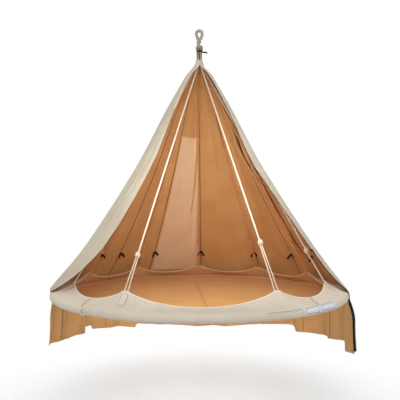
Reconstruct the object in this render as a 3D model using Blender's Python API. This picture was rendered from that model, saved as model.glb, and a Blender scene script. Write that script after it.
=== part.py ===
"""A round hanging bed: a hooped canvas tray on nine ropes, under a cone of cloth that opens at the front.

Lengths are in metres and angles in degrees. The origin is where the hook bears in the rope eye, +Z is up,
the open front faces -Y. Azimuths turn from the back (+Y) towards +X, and heights count from the
hoop's middle.
"""

from math import acos, atan2, ceil, cos, degrees, exp, hypot, pi, radians, sin, sqrt

import bmesh
import bpy
import numpy as np
from mathutils import Matrix, Vector

# Gaps between neighbouring pieces
GAP = 0.0003
SLIDING_GAP = 0.0004
EYELET_GAP = 0.0005
SEWN_GAP = 0.0008

# Hanging height and hoop
HANG_HEIGHT = 1.724
HOOP_RADIUS = 0.8772
TUBE_RADIUS = 0.0135
TUBE_WALL = 0.002
TUBE_SIDES = 8
HOOP_PARTS = 5
FIRST_JOINT = 18.0
SWAGE_LENGTH = 0.045
SWAGE_WALL = 0.0015
JOINT_GAP = 0.0006

# Snap buttons of the hoop
BUTTON_RADIUS = 0.0035
BUTTON_FLANGE_RADIUS = 0.005
BUTTON_FLANGE_THICKNESS = 0.0035
BUTTON_STAND_OUT = 0.003
BUTTON_SET_BACK = 0.022

# Ropes
ROPE_COUNT = 9
ROPE_STEP = 38.18
ROPE_SIDES = 6
FIRST_ROPE = -0.99
ROPE_RADIUS = 0.0045
LEG_RADIUS = 0.00325
LEG_SPREAD = 0.010
KNOT_RADIUS = 0.0138
KNOT_LENGTH = 0.030
KNOT_WRAPS = 3
# Heights of the hand-tied knots, from the back rope round past the right, then from the front left
KNOT_HEIGHTS = (0.279, 0.280, 0.312, 0.256, 0.308, 0.247, 0.236, 0.228, 0.170)

# Heights along a rope's upper end, below the top of the bundle
ROPE_BENDS = (0.0, 0.060, 0.090, 0.115, 0.135, 0.155, 0.180, 0.220, 0.320)

# Crown: rope bundle, whipping, eye and strap, with drops below the point where the hook bears
ROPE_MEET_DROP = 0.211
BUNDLE_GAP = 0.00008
BUNDLE_TOP_DROP = 0.104
BUNDLE_EASE = 0.012
WHIPPING_CORD_RADIUS = 0.0024
WHIPPING_TURNS = 4
WHIPPING_PITCH = 0.0056
WHIPPING_DROP = 0.129
STRAP_WIDTH = 0.012
STRAP_THICKNESS = 0.002
STRAP_DROP = 0.141
STRAP_TAIL = 0.034
EYE_HALF_WIDTH = 0.0205
EYE_CROSSING = 0.060
EYE_CORE_DROP = 0.139

# Canvas tray, with insets from the hoop's middle
CLOTH = 0.002
PEAK_INSET = 0.1032
PEAK_HEIGHT = 0.080
VALLEY_INSET = 0.0922
VALLEY_HEIGHT = 0.032
FRONT_VALLEY_HEIGHT = 0.026
SCALLOP_POWER = 2.2
SLEEVE_TURNS = 7
WALL_CLEARANCE = 0.0099
WALL_BEND = -0.004
SLIT_EASE = 0.0014
SLIT_HALF_LENGTH = 0.018
SLIT_END = 0.042
BASE_FLAT_INSET = 0.0952
PAD_TOP = -0.010
PAD_THICKNESS = 0.0278
PAD_CROWN = 0.004
PAD_WALL_GAP = 0.004
PAD_SPLIT_TURN = 3.6
PAD_SPLIT_GAP = 0.002

# Cover
COVER_ROPE_GAP = 0.004
COVER_CREST_INSET = 0.0105
COVER_FLARE_FALL = 0.28
RING_CREST = 0.030
SKIRT_STAND_OFF = 0.0206
SKIRT_EASE = 0.018
COVER_TOP_DROP = 0.2346
COLLAR_TOP_DROP = 0.194
HEM_SIDE_DEPTH = 0.335
HEM_BACK_EXTRA = 0.105
GORE_FULL_WIDTH = 40.0
FOLD_BASE = 0.006
FOLD_PER_DEGREE = 0.0008
HEM_FOLD_GROWTH = 0.4
DRAWN_BACK_FROM = 0.25
DRAWN_BACK_TO = -0.05
# Seam azimuths where the cover lies on the ropes, and round the hoop, where its front is drawn back
UPPER_SEAMS = (-103.0, -69.0, -53.0, -29.0, 1.0, 36.0, 64.0, 86.0)
LOWER_SEAMS = (-82.0, -69.0, -53.0, -29.0, 1.0, 36.0, 60.0, 79.0)
# The front edges as (height, azimuth)
LEFT_EDGE = (
    (HANG_HEIGHT - 0.234, -177.0), (HANG_HEIGHT - 0.274, -158.0), (HANG_HEIGHT - 0.354, -143.0),
    (HANG_HEIGHT - 0.524, -140.5), (0.800, -140.5), (0.500, -138.5), (0.300, -136.0), (0.200, -134.0),
    (0.130, -128.0), (0.080, -121.0), (0.040, -112.0), (0.000, -102.0), (-0.050, -95.0), (-0.120, -93.0),
    (-0.500, -92.5),
)
RIGHT_EDGE = (
    (HANG_HEIGHT - 0.234, 177.0), (HANG_HEIGHT - 0.274, 155.0), (HANG_HEIGHT - 0.354, 138.0),
    (HANG_HEIGHT - 0.524, 131.0), (1.000, 129.0), (0.740, 130.0), (0.240, 118.0), (0.120, 116.0),
    (0.060, 112.0), (0.020, 107.0), (-0.020, 100.0), (-0.060, 96.0), (-0.120, 94.5), (-0.500, 94.0),
)
# How far the skirt's right edge turns outwards
EDGE_FLICK = 0.055
FLICK_FROM = 0.03
FLICK_TO = -0.20
FLICK_SHARE = 0.7
# Rows and columns of the cloth
COVER_HEIGHTS = (HANG_HEIGHT - COVER_TOP_DROP, HANG_HEIGHT - 0.284, HANG_HEIGHT - 0.354, HANG_HEIGHT - 0.464,
                 HANG_HEIGHT - 0.664, 0.90, 0.74, 0.57, 0.41, 0.24, 0.165, 0.105, 0.06, 0.03, 0.015, 0.0,
                 -0.08, -0.19, -HEM_SIDE_DEPTH)
GORE_COLUMNS = 7
ZIP_TOP_ROW = 1
LEFT_ZIP_TOP_ROW = 2
WINDOW_TOP_ROW = 4
WINDOW_BOTTOM_ROW = 11
# Heights between which the right edge is pulled straight
STRAIGHT_EDGE_TOP = 0.740
STRAIGHT_EDGE_BOTTOM = 0.240

# Zip along the front edges
TAPE_WIDTH = 0.014
TAPE_THICKNESS = 0.0012
BEAD_WIDTH = 0.004
BEAD_THICKNESS = 0.003
ZIP_TAIL_DEPTH = 0.378
SLIDER_HEIGHT = 0.262
SLIDER_LENGTH = 0.016
SLIDER_PLATE = 0.0014
SLIDER_LIP = 0.0012
SLIDER_POST = 0.0024
BAIL_LENGTH = 0.007
BAIL_WIDTH = 0.003
BAIL_HEIGHT = 0.0056
BAIL_BORE = 0.0017
PULL_PIN_RADIUS = 0.0012
PULL_LENGTH = 0.030
PULL_WIDTH = 0.0095
PULL_THICKNESS = 0.0018

# Window panel, ties, tag and patches
WINDOW_GORE = 4
TIE_AZIMUTHS = (-69.0, -53.0, -29.0, 1.0, 36.0, 64.0, 86.0)
TIE_HEIGHT = 0.200
TIE_TAIL = 0.038
TIE_SPREAD = 0.030
TIE_WIDTH = 0.010
TAG_SCALLOP = 5
TAG_COLUMNS = (0.9, 2.3)
TAG_LIFT = 0.0009
TAG_LOW = 0.15
TAG_HIGH = 0.80
PATCH_SCALLOP = 3
PATCH_COLUMNS = ((5.813, 6.89), (4.37, 5.807))
PATCH_LOW = 3.0
PATCH_HIGH = 6.0
TRIM_THICKNESS = 0.001

# Values that follow from those above
ROPE_MEET = HANG_HEIGHT - ROPE_MEET_DROP
BUNDLE_TOP = HANG_HEIGHT - BUNDLE_TOP_DROP
WHIPPING_BOTTOM = HANG_HEIGHT - WHIPPING_DROP
STRAP_HEIGHT = HANG_HEIGHT - STRAP_DROP
EYE_CORE_BOTTOM = HANG_HEIGHT - EYE_CORE_DROP
COVER_TOP = COVER_HEIGHTS[0]
COLLAR_TOP = HANG_HEIGHT - COLLAR_TOP_DROP
PEAK_RADIUS = HOOP_RADIUS - PEAK_INSET
VALLEY_RADIUS = HOOP_RADIUS - VALLEY_INSET
BASE_FLAT_RADIUS = HOOP_RADIUS - BASE_FLAT_INSET
SWAGE_OUTER = TUBE_RADIUS - TUBE_WALL - GAP
SWAGE_INNER = SWAGE_OUTER - SWAGE_WALL
LOOP_RADIUS = TUBE_RADIUS + GAP + LEG_RADIUS
SLEEVE_RADIUS = LOOP_RADIUS + LEG_RADIUS + EYELET_GAP
WALL_RADIUS = HOOP_RADIUS - SLEEVE_RADIUS - WALL_CLEARANCE
BUNDLE_RADIUS = (ROPE_RADIUS + BUNDLE_GAP) / sin(radians(ROPE_STEP) / 2)
EYE_ROPE_RADIUS = BUNDLE_RADIUS - ROPE_RADIUS * cos(pi / ROPE_SIDES) - GAP
SLIT_WIDTH = 2 * (LEG_RADIUS + EYELET_GAP + SLIT_EASE)
ROPE_SLOPE = PEAK_RADIUS / (ROPE_MEET - PEAK_HEIGHT)
BASE_TOP = -SLEEVE_RADIUS
BASE_RADIUS = WALL_RADIUS + 0.009
PAD_BOTTOM = PAD_TOP - PAD_THICKNESS
BASE_FLAT_TOP = PAD_BOTTOM - GAP


# Shape helpers

def polar(azimuth, radius, height):
    """The point at an azimuth in degrees, a radius and a height above the hoop."""
    turn = radians(azimuth)
    return np.array([radius * sin(turn), radius * cos(turn), height])


def around(count):
    """Azimuths spread evenly over a full turn."""
    return [360 * i / count for i in range(count)]


def unit(vector):
    return vector / np.linalg.norm(vector)


def smooth_step(low, high, value):
    """0 at low and below, 1 at high and above, with an eased change between."""
    share = min(max((value - low) / (high - low), 0.0), 1.0)
    return share * share * (3 - 2 * share)


def through(table, value):
    """A smooth curve through (key, value) pairs whose keys fall."""
    keys = np.array([pair[0] for pair in table])[::-1]
    values = np.array([pair[1] for pair in table])[::-1]
    slopes = np.gradient(values, keys)
    value = min(max(value, keys[0]), keys[-1])
    i = min(max(int(np.searchsorted(keys, value)) - 1, 0), len(keys) - 2)
    width = keys[i + 1] - keys[i]
    t = (value - keys[i]) / width
    start = (1 + 2 * t) * (1 - t) ** 2 * values[i] + t * (1 - t) ** 2 * width * slopes[i]
    end = t * t * (3 - 2 * t) * values[i + 1] + t * t * (t - 1) * width * slopes[i + 1]
    return start + end


def material(name, colour, roughness=0.8, metallic=0.0):
    made = bpy.data.materials.new(name)
    made.use_nodes = True
    shader = made.node_tree.nodes["Principled BSDF"]
    shader.inputs["Base Color"].default_value = (*colour, 1.0)
    shader.inputs["Roughness"].default_value = roughness
    shader.inputs["Metallic"].default_value = metallic
    return made


def new_mesh(name, points, faces):
    """A closed mesh with its faces turned outwards."""
    mesh = bpy.data.meshes.new(name)
    mesh.from_pydata([tuple(map(float, point)) for point in points], [], faces)
    work = bmesh.new()
    work.from_mesh(mesh)
    bmesh.ops.recalc_face_normals(work, faces=work.faces)
    if work.calc_volume(signed=True) < 0:
        bmesh.ops.reverse_faces(work, faces=work.faces)
    work.to_mesh(mesh)
    work.free()
    mesh.shade_smooth()
    mesh.set_sharp_from_angle(angle=radians(40))
    return mesh


def add(name, mesh, look, azimuth=0.0, parent=None):
    """An object turned to an azimuth about the hoop's axis."""
    made = bpy.data.objects.new(name, mesh)
    bpy.context.scene.collection.objects.link(made)
    made.rotation_euler = (0, 0, -radians(azimuth))
    made.parent = parent
    if not mesh.materials:
        mesh.materials.append(look)
    return made


def helper(name, mesh, parent):
    made = add(name, mesh, None, parent=parent)
    made.hide_render = True
    made.display_type = "WIRE"
    return made


def sheet(name, inner, outer, closed=False):
    """A cloth solid between two grids of points, closed round its first direction or edged on all sides."""
    columns, rows = inner.shape[:2]
    points = np.concatenate([inner.reshape(-1, 3), outer.reshape(-1, 3)])

    def at(layer, column, row):
        return layer * columns * rows + (column % columns) * rows + row

    faces = []
    for column in range(columns if closed else columns - 1):
        for row in range(rows - 1):
            for layer in (0, 1):
                faces.append([at(layer, column, row), at(layer, column + 1, row),
                              at(layer, column + 1, row + 1), at(layer, column, row + 1)])
        for row in (0, rows - 1):
            faces.append([at(0, column, row), at(0, column + 1, row),
                          at(1, column + 1, row), at(1, column, row)])
    if not closed:
        for column in (0, columns - 1):
            for row in range(rows - 1):
                faces.append([at(0, column, row), at(0, column, row + 1),
                              at(1, column, row + 1), at(1, column, row)])
    return new_mesh(name, points, faces)


def loft(name, rings, ends=True, closed=False):
    """A solid through rings of points, with flat ends or closed on itself."""
    count = len(rings[0])
    points = [point for ring in rings for point in ring]
    faces = []
    for i in range(len(rings) if closed else len(rings) - 1):
        low, high = i * count, (i + 1) % len(rings) * count
        for j in range(count):
            k = (j + 1) % count
            faces.append([low + j, low + k, high + k, high + j])
    if ends and not closed:
        faces.append(list(range(count)))
        faces.append(list(range((len(rings) - 1) * count, len(rings) * count)))
    return new_mesh(name, points, faces)


def tube_rings(route, radius, sides):
    """Round sections square to a route, turned as little as possible from one to the next."""
    route = np.asarray(route, float)
    steps = np.diff(route, axis=0)
    steps /= np.linalg.norm(steps, axis=1)[:, None]
    along = [steps[0], *[unit(a + b) for a, b in zip(steps[:-1], steps[1:])], steps[-1]]
    side = np.cross(along[0], [0, 0, 1] if abs(along[0][2]) < 0.9 else [1, 0, 0])
    rings = []
    for i, (place, direction) in enumerate(zip(route, along)):
        side = unit(side - np.dot(side, direction) * direction)
        up = np.cross(direction, side)
        stretch = 1.0 if i in (0, len(route) - 1) else 1 / max(np.dot(steps[i], direction), 0.8)
        turns = [2 * pi * (j + 0.5) / sides for j in range(sides)]
        rings.append([place + radius * stretch * (cos(turn) * side + sin(turn) * up) for turn in turns])
    return rings


def tube(name, route, radius, sides=8):
    return loft(name, tube_rings(route, radius, sides))


def turned(name, profile, azimuths):
    """A solid turned about Z from a profile of (radius, height) that starts and ends on the axis."""
    points = [(0, 0, profile[0][1]), (0, 0, profile[-1][1])]
    inner = profile[1:-1]
    sides = len(azimuths)
    for radius, height in inner:
        points += [polar(azimuth, radius, height) for azimuth in azimuths]
    faces = []
    last = 2 + (len(inner) - 1) * sides
    for j in range(sides):
        k = (j + 1) % sides
        faces += [[0, 2 + j, 2 + k], [1, last + k, last + j]]
        for i in range(len(inner) - 1):
            low, high = 2 + i * sides, 2 + (i + 1) * sides
            faces.append([low + j, high + j, high + k, low + k])
    return new_mesh(name, points, faces)


def boolean(target, other, operation):
    cut = target.modifiers.new(operation.title(), "BOOLEAN")
    cut.operation = operation
    cut.object = other
    cut.solver = "EXACT"


def evaluated_mesh(made):
    """A copy of an object's mesh with its modifiers applied."""
    bpy.context.view_layer.update()
    graph = bpy.context.evaluated_depsgraph_get()
    return bpy.data.meshes.new_from_object(made.evaluated_get(graph))


# Hoop

def hoop_section(azimuth, radius):
    """A ring of points round the hoop's tube."""
    ring = []
    for j in range(TUBE_SIDES):
        turn = 2 * pi * (j + 0.5) / TUBE_SIDES
        ring.append(polar(azimuth, HOOP_RADIUS + radius * cos(turn), radius * sin(turn)))
    return ring


def arc_degrees(length, radius=HOOP_RADIUS):
    return degrees(length / radius)


def hoop_stations():
    """Where one part of the hoop bends, from its socket end. The first bends match the plug's."""
    end = 360 / HOOP_PARTS - arc_degrees(JOINT_GAP)
    plugged = [arc_degrees(SWAGE_LENGTH * share - JOINT_GAP) for share in (0.5, 1.0)]
    return np.array([0, plugged[0], *np.linspace(plugged[1], end, 8)])


def hoop_middle(azimuth):
    """The radius of the hoop's middle line, which runs straight from bend to bend."""
    stations = hoop_stations()
    along = (azimuth - FIRST_JOINT) % (360 / HOOP_PARTS)
    bend = min(int(np.searchsorted(stations, along)), len(stations) - 1)
    half = radians(stations[bend] - stations[bend - 1]) / 2
    aside = radians(along - stations[bend - 1]) - half
    return HOOP_RADIUS * cos(half) / cos(aside)


def hoop_tube_mesh(centre):
    """One fifth of the hoop: a bent tube whose far end is drawn down to plug into the next."""
    stations = hoop_stations()
    end = stations[-1]
    tip = end + arc_degrees(SWAGE_LENGTH)
    neck = end - arc_degrees(2 * TUBE_WALL)
    outside = [(azimuth, TUBE_RADIUS) for azimuth in stations]
    outside += [(end, SWAGE_OUTER), ((end + tip) / 2, SWAGE_OUTER), (tip, SWAGE_OUTER)]
    bore = TUBE_RADIUS - TUBE_WALL
    inside = [(tip, SWAGE_INNER), ((end + tip) / 2, SWAGE_INNER), (end, SWAGE_INNER), (neck, bore)]
    inside += [(azimuth, bore) for azimuth in stations[-2::-1]]
    rings = [hoop_section(azimuth, radius) for azimuth, radius in outside + inside]
    blank = helper("hoop_tube_blank", loft("hoop_tube_blank", rings, closed=True), centre)
    set_back = arc_degrees(BUTTON_SET_BACK)
    for name, azimuth in (("socket_hole", set_back), ("swage_hole", 360 / HOOP_PARTS + set_back)):
        profile = [(0, TUBE_RADIUS / 3), (BUTTON_RADIUS + GAP, TUBE_RADIUS / 3),
                   (BUTTON_RADIUS + GAP, 2 * TUBE_RADIUS), (0, 2 * TUBE_RADIUS)]
        cutter = helper(name, turned(name, profile, around(12)), centre)
        point_inwards(cutter, azimuth)
        boolean(blank, cutter, "DIFFERENCE")
    return evaluated_mesh(blank)


def point_inwards(made, azimuth):
    """Puts an object's origin in the hoop tube's middle, with its Z axis towards the bed's axis."""
    made.location = Vector(polar(azimuth, HOOP_RADIUS, 0))
    made.rotation_euler = (radians(90), 0, -radians(azimuth))


def joint_azimuth(part):
    return FIRST_JOINT + part * 360 / HOOP_PARTS


def make_hoop(centre, metal, steel):
    mesh = hoop_tube_mesh(centre)
    for part in range(HOOP_PARTS):
        add(f"hoop_tube_{part + 1}", mesh, metal, joint_azimuth(part), centre)
    flange_top = sqrt((SWAGE_INNER * cos(pi / TUBE_SIDES)) ** 2 - BUTTON_FLANGE_RADIUS ** 2) - GAP
    top = TUBE_RADIUS + BUTTON_STAND_OUT
    profile = [(0, flange_top - BUTTON_FLANGE_THICKNESS),
               (BUTTON_FLANGE_RADIUS, flange_top - BUTTON_FLANGE_THICKNESS),
               (BUTTON_FLANGE_RADIUS, flange_top),
               (BUTTON_RADIUS, flange_top), (BUTTON_RADIUS, top - BUTTON_RADIUS / 3),
               (BUTTON_RADIUS * 2 / 3, top), (0, top)]
    button = turned("snap_button", profile, around(12))
    for part in range(HOOP_PARTS):
        made = add(f"snap_button_{part + 1}", button, steel, parent=centre)
        point_inwards(made, joint_azimuth(part) + arc_degrees(BUTTON_SET_BACK))


# Ropes

def rope_azimuth(number):
    return FIRST_ROPE + ROPE_STEP * (number if number <= ROPE_COUNT // 2 else number - ROPE_COUNT)


def rope_radius_at(height):
    """How far a rope's middle is from the axis: straight from the tray, easing into the bundle."""
    reach = ROPE_SLOPE * (ROPE_MEET - height) - BUNDLE_RADIUS
    return BUNDLE_RADIUS + (reach + sqrt(reach * reach + BUNDLE_EASE ** 2)) / 2


def leg_route(knot_height, middle):
    """The two legs of a rope as one route: down to the tray's peak, round the hoop's tube and back."""
    knot = np.array([0, rope_radius_at(knot_height), knot_height])
    peak = np.array([0, PEAK_RADIUS, PEAK_HEIGHT])
    rise = atan2(PEAK_HEIGHT, PEAK_RADIUS - middle)
    touch = acos(LOOP_RADIUS / hypot(PEAK_HEIGHT, PEAK_RADIUS - middle))
    turns = np.linspace(rise - touch, rise + touch - 2 * pi, 11)
    reach = LOOP_RADIUS / cos((turns[0] - turns[1]) / 2)
    spread = np.linspace(LEG_SPREAD, -LEG_SPREAD, len(turns))
    loop = [np.array([side, middle + reach * cos(turn), reach * sin(turn)])
            for side, turn in zip(spread, turns)]
    aside = np.array([LEG_SPREAD, 0, 0])
    start = np.array([LEG_RADIUS + GAP, 0, 0])
    return [knot + start, peak + aside, *loop, peak - aside, knot - start]


def knot_profile():
    """A barrel of wraps, as (radius, height) about the rope's own line."""
    half = KNOT_LENGTH / 2
    profile = [(0, -half)]
    for wrap in range(KNOT_WRAPS):
        low = -half + KNOT_LENGTH * wrap / KNOT_WRAPS
        high = -half + KNOT_LENGTH * (wrap + 1) / KNOT_WRAPS
        waist = 0.62 if wrap == 0 else 0.84
        bulge = 1.0 if wrap == KNOT_WRAPS // 2 else 0.9
        profile += [(KNOT_RADIUS * waist, low), (KNOT_RADIUS * bulge, (low + high) / 2)]
    return profile + [(KNOT_RADIUS * 0.62, half), (0, half)]


def make_ropes(centre, look):
    knot_mesh = turned("knot", knot_profile(), around(8))
    for number, knot_height in enumerate(KNOT_HEIGHTS):
        heights = [BUNDLE_TOP - drop for drop in ROPE_BENDS] + [knot_height]
        route = [np.array([0, rope_radius_at(height), height]) for height in heights]
        rope = add(f"rope_{number + 1}", tube(f"rope_{number + 1}", route, ROPE_RADIUS, ROPE_SIDES), look,
                   rope_azimuth(number), centre)
        knot = helper(f"rope_{number + 1}_knot", knot_mesh, rope)
        knot.location = Vector((0, rope_radius_at(knot_height), knot_height))
        knot.rotation_euler = (atan2(ROPE_SLOPE, 1), 0, 0)
        route = leg_route(knot_height, hoop_middle(rope_azimuth(number)))
        legs = helper(f"rope_{number + 1}_legs", tube("legs", route, LEG_RADIUS, ROPE_SIDES), rope)
        boolean(rope, knot, "UNION")
        boolean(rope, legs, "UNION")


# Crown

def make_whipping(centre, look):
    """A cord wound round the bundle in one unbroken helix."""
    radius = rope_radius_at(WHIPPING_BOTTOM) + ROPE_RADIUS + GAP + WHIPPING_CORD_RADIUS
    per_turn = 20
    route = []
    for i in range(WHIPPING_TURNS * per_turn + 1):
        turn = 2 * pi * i / per_turn
        height = WHIPPING_BOTTOM + WHIPPING_CORD_RADIUS + WHIPPING_PITCH * i / per_turn
        route.append([radius * cos(turn), radius * sin(turn), height])
    add("crown_whipping", tube("crown_whipping", route, WHIPPING_CORD_RADIUS, 6), look, parent=centre)
    route = np.array(route)
    apart = np.linalg.norm(route[per_turn // 2:, None] - route[None], axis=2)
    far = np.arange(len(route))[per_turn // 2:, None] - np.arange(len(route))[None] >= per_turn // 2
    print(f"least gap between whipping turns: {1000 * (apart[far].min() - 2 * WHIPPING_CORD_RADIUS):.2f} mm")


def eye_route():
    """From the core of the bundle, up a twisted neck, round the eye and back down to the spliced end."""
    bearing = HANG_HEIGHT + EYE_ROPE_RADIUS
    middle = bearing - EYE_HALF_WIDTH
    crossing = bearing - EYE_CROSSING
    neck = EYE_ROPE_RADIUS + SLIDING_GAP

    def twist(height):
        """Half the spacing of the two legs, and their turn about the axis."""
        share = smooth_step(crossing, middle, height)
        spacing = neck + (EYE_HALF_WIDTH - neck) * share
        return spacing, pi * smooth_step(BUNDLE_TOP + 0.014, crossing + 0.014, height)

    standing = [np.array([0, 0, height]) for height in (EYE_CORE_BOTTOM, BUNDLE_TOP + 0.002)]
    for height in np.linspace(BUNDLE_TOP + 0.010, middle, 11):
        spacing, turn = twist(height)
        spacing *= smooth_step(BUNDLE_TOP + 0.002, BUNDLE_TOP + 0.030, height)
        standing.append(np.array([-spacing * cos(turn), -spacing * sin(turn), height]))
    over = [np.array([EYE_HALF_WIDTH * cos(turn), 0, middle + EYE_HALF_WIDTH * sin(turn)])
            for turn in np.linspace(0, pi, 11)[1:-1]]
    spliced = []
    for height in np.linspace(middle, BUNDLE_TOP + 0.034, 8):
        spacing, turn = twist(height)
        spliced.append(np.array([spacing * cos(turn), spacing * sin(turn), height]))
    return standing, over, spliced


def make_eye(centre, look):
    standing, over, spliced = eye_route()
    add("hanging_eye", tube("hanging_eye", standing + over + spliced, EYE_ROPE_RADIUS), look, parent=centre)


def make_strap(centre, look):
    """A band round the bundle under the whipping, whose end sticks out to the right."""
    inner = rope_radius_at(STRAP_HEIGHT - STRAP_WIDTH) + ROPE_RADIUS + GAP
    outer = inner + STRAP_THICKNESS
    half_tail = radians(5)
    outline = []
    for turn in np.linspace(half_tail, 2 * pi - half_tail, 23):
        outline.append((outer * cos(turn), outer * sin(turn)))
    half = outer * sin(half_tail)
    tail = [(outer + STRAP_TAIL * 0.75, -half), (outer + STRAP_TAIL * 0.8, -1.6 * half),
            (outer + STRAP_TAIL, -1.2 * half), (outer + STRAP_TAIL, 1.2 * half),
            (outer + STRAP_TAIL * 0.8, 1.6 * half), (outer + STRAP_TAIL * 0.75, half)]
    outline += tail
    bore = [(inner * cos(turn), inner * sin(turn)) for turn in np.linspace(0, 2 * pi, 25)[:-1]]
    low, high = STRAP_HEIGHT - STRAP_WIDTH / 2, STRAP_HEIGHT + STRAP_WIDTH / 2
    band = add("crown_strap", loft("crown_strap", [[(x, y, z) for x, y in outline] for z in (low, high)]),
               look, parent=centre)
    hole = helper("crown_strap_bore", loft("crown_strap_bore", [
        [(x, y, z) for x, y in bore] for z in (low - STRAP_WIDTH, high + STRAP_WIDTH)]), centre)
    boolean(band, hole, "DIFFERENCE")


# Canvas tray

def scallop_shares(span):
    """Where the columns of a scallop stand, from 0 at one rope to 1 at the next."""
    length = radians(span) * HOOP_RADIUS
    near = [GAP / length, SLIT_HALF_LENGTH / length, SLIT_END / length]
    middle = list(np.linspace(near[-1], 1 - near[-1], 3 + ceil(span / 16)))[1:-1]
    return near + middle + [1 - share for share in near[::-1]]


def scallop_edge(share, span, valley_height):
    """(radius, height) of the scalloped edge, and the width between its two layers of cloth."""
    length = radians(span) * HOOP_RADIUS
    aside = length * min(share, 1 - share)
    from_middle = min((length - 2 * aside) / (length - 2 * SLIT_HALF_LENGTH), 1.0)
    weight = from_middle ** SCALLOP_POWER
    radius = VALLEY_RADIUS + (PEAK_RADIUS - VALLEY_RADIUS) * weight
    height = valley_height + (PEAK_HEIGHT - valley_height) * weight
    between = GAP + (SLIT_WIDTH - GAP) * (1 - smooth_step(SLIT_HALF_LENGTH, SLIT_END, aside))
    return radius, height, between


def outer_section(share, span, valley_height, offset):
    """The outer layer as (radius, height) points: under the tube, round its outer side and up to the edge."""
    radius, height, between = scallop_edge(share, span, valley_height)
    wrap = SLEEVE_RADIUS + offset
    rise = atan2(height, radius - HOOP_RADIUS)
    reach = hypot(height, radius - HOOP_RADIUS)
    edge = reach * np.array([cos(rise), sin(rise)])
    lean = unit(np.array([sin(rise), -cos(rise)]))
    edge = edge + lean * (between / 2 + offset)
    rise, reach = atan2(edge[1], edge[0]), hypot(*edge)
    leave = rise - acos(wrap / reach)
    turns = np.linspace(-pi / 2, leave, SLEEVE_TURNS)
    wrap /= cos((turns[1] - turns[0]) / 2)
    section = [(BASE_RADIUS + GAP, -SLEEVE_RADIUS - offset)]
    section += [(HOOP_RADIUS + wrap * cos(turn), wrap * sin(turn)) for turn in turns]
    return section + [(HOOP_RADIUS + edge[0], edge[1])]


def inner_section(share, span, valley_height, offset):
    """The inner wall as (radius, height) points, from the base up to the edge."""
    radius, height, between = scallop_edge(share, span, valley_height)
    rise = atan2(height - WALL_BEND, radius - WALL_RADIUS)
    lean = np.array([sin(rise), -cos(rise)])
    edge = np.array([radius, height]) - lean * (between / 2 + CLOTH - offset)
    bend_radius = WALL_RADIUS - CLOTH + offset
    return [(bend_radius, BASE_TOP + GAP), (bend_radius, WALL_BEND), tuple(edge)]


def scallop(number):
    """The span and valley height of a scallop; the one at the front is wider."""
    if number == ROPE_COUNT // 2:
        return 360 - ROPE_STEP * (ROPE_COUNT - 1), FRONT_VALLEY_HEIGHT
    return ROPE_STEP, VALLEY_HEIGHT


def rim_layer(number, offset):
    """The outer layer of a scallop as a grid of points, column by column from its first rope."""
    span, valley = scallop(number)
    return np.array([[polar(span * share, *point) for point in outer_section(share, span, valley, offset)]
                     for share in scallop_shares(span)])


def make_rim(centre, look):
    for number in range(ROPE_COUNT):
        panel = sheet("rim_panel", rim_layer(number, 0.0), rim_layer(number, CLOTH))
        add(f"rim_panel_{number + 1}", panel, look, rope_azimuth(number), centre)


def make_inner_wall(centre, look):
    layers = ([], [])
    for number in range(ROPE_COUNT):
        span, valley = scallop(number)
        for share in [0.0, *scallop_shares(span)[1:-1]]:
            azimuth = rope_azimuth(number) + span * share
            for layer, offset in zip(layers, (0.0, CLOTH)):
                layer.append([polar(azimuth, *point) for point in inner_section(share, span, valley, offset)])
    add("inner_wall", sheet("inner_wall", np.array(layers[0]), np.array(layers[1]), closed=True), look,
        parent=centre)


def make_base(centre, look):
    """A shallow dish of canvas that meets the rim under the hoop, column for column."""
    profile = [(0, BASE_FLAT_TOP), (BASE_FLAT_RADIUS, BASE_FLAT_TOP), (BASE_RADIUS, BASE_TOP),
               (BASE_RADIUS, BASE_TOP - CLOTH), (BASE_FLAT_RADIUS, BASE_FLAT_TOP - CLOTH),
               (0, BASE_FLAT_TOP - CLOTH)]
    azimuths = []
    for number in range(ROPE_COUNT):
        span = scallop(number)[0]
        azimuths += [rope_azimuth(number) + span * share for share in [0.0, *scallop_shares(span)[1:-1]]]
    add("base_canvas", turned("base_canvas", profile, azimuths), look, parent=centre)


def pad_outline(inset):
    """Half a disc, drawn in by an inset, in the pad's own frame with the split along Y."""
    radius = WALL_RADIUS - CLOTH - PAD_WALL_GAP - inset
    split = PAD_SPLIT_GAP / 2 + inset
    corner = acos(split / radius)
    arc = [(radius * cos(turn), radius * sin(turn)) for turn in np.linspace(-corner, corner, 25)]
    straight = [(split, y) for y in np.linspace(arc[-1][1], arc[0][1], 7)[1:-1]]
    return arc + straight


def make_pads(centre, look):
    """Two foam halves with a crown, drawn-in edges and a split that lies a little askew."""
    deep = WALL_RADIUS - CLOTH - PAD_WALL_GAP - BASE_FLAT_RADIUS + PAD_WALL_GAP
    layers = [(deep, PAD_BOTTOM), (0.0, BASE_TOP + GAP), (0.003, PAD_TOP - 0.004), (0.014, PAD_TOP),
              (0.10, PAD_TOP + PAD_CROWN * 0.7), (0.25, PAD_TOP + PAD_CROWN)]
    rings = [[(x, y, height) for x, y in pad_outline(inset)] for inset, height in layers]
    mesh = loft("pad", rings)
    for name, turn in (("pad_right", PAD_SPLIT_TURN), ("pad_left", PAD_SPLIT_TURN + 180)):
        pad = add(name, mesh, look, -turn, centre)
        pad.rotation_euler = (0, 0, radians(turn))


# Cover

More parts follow.
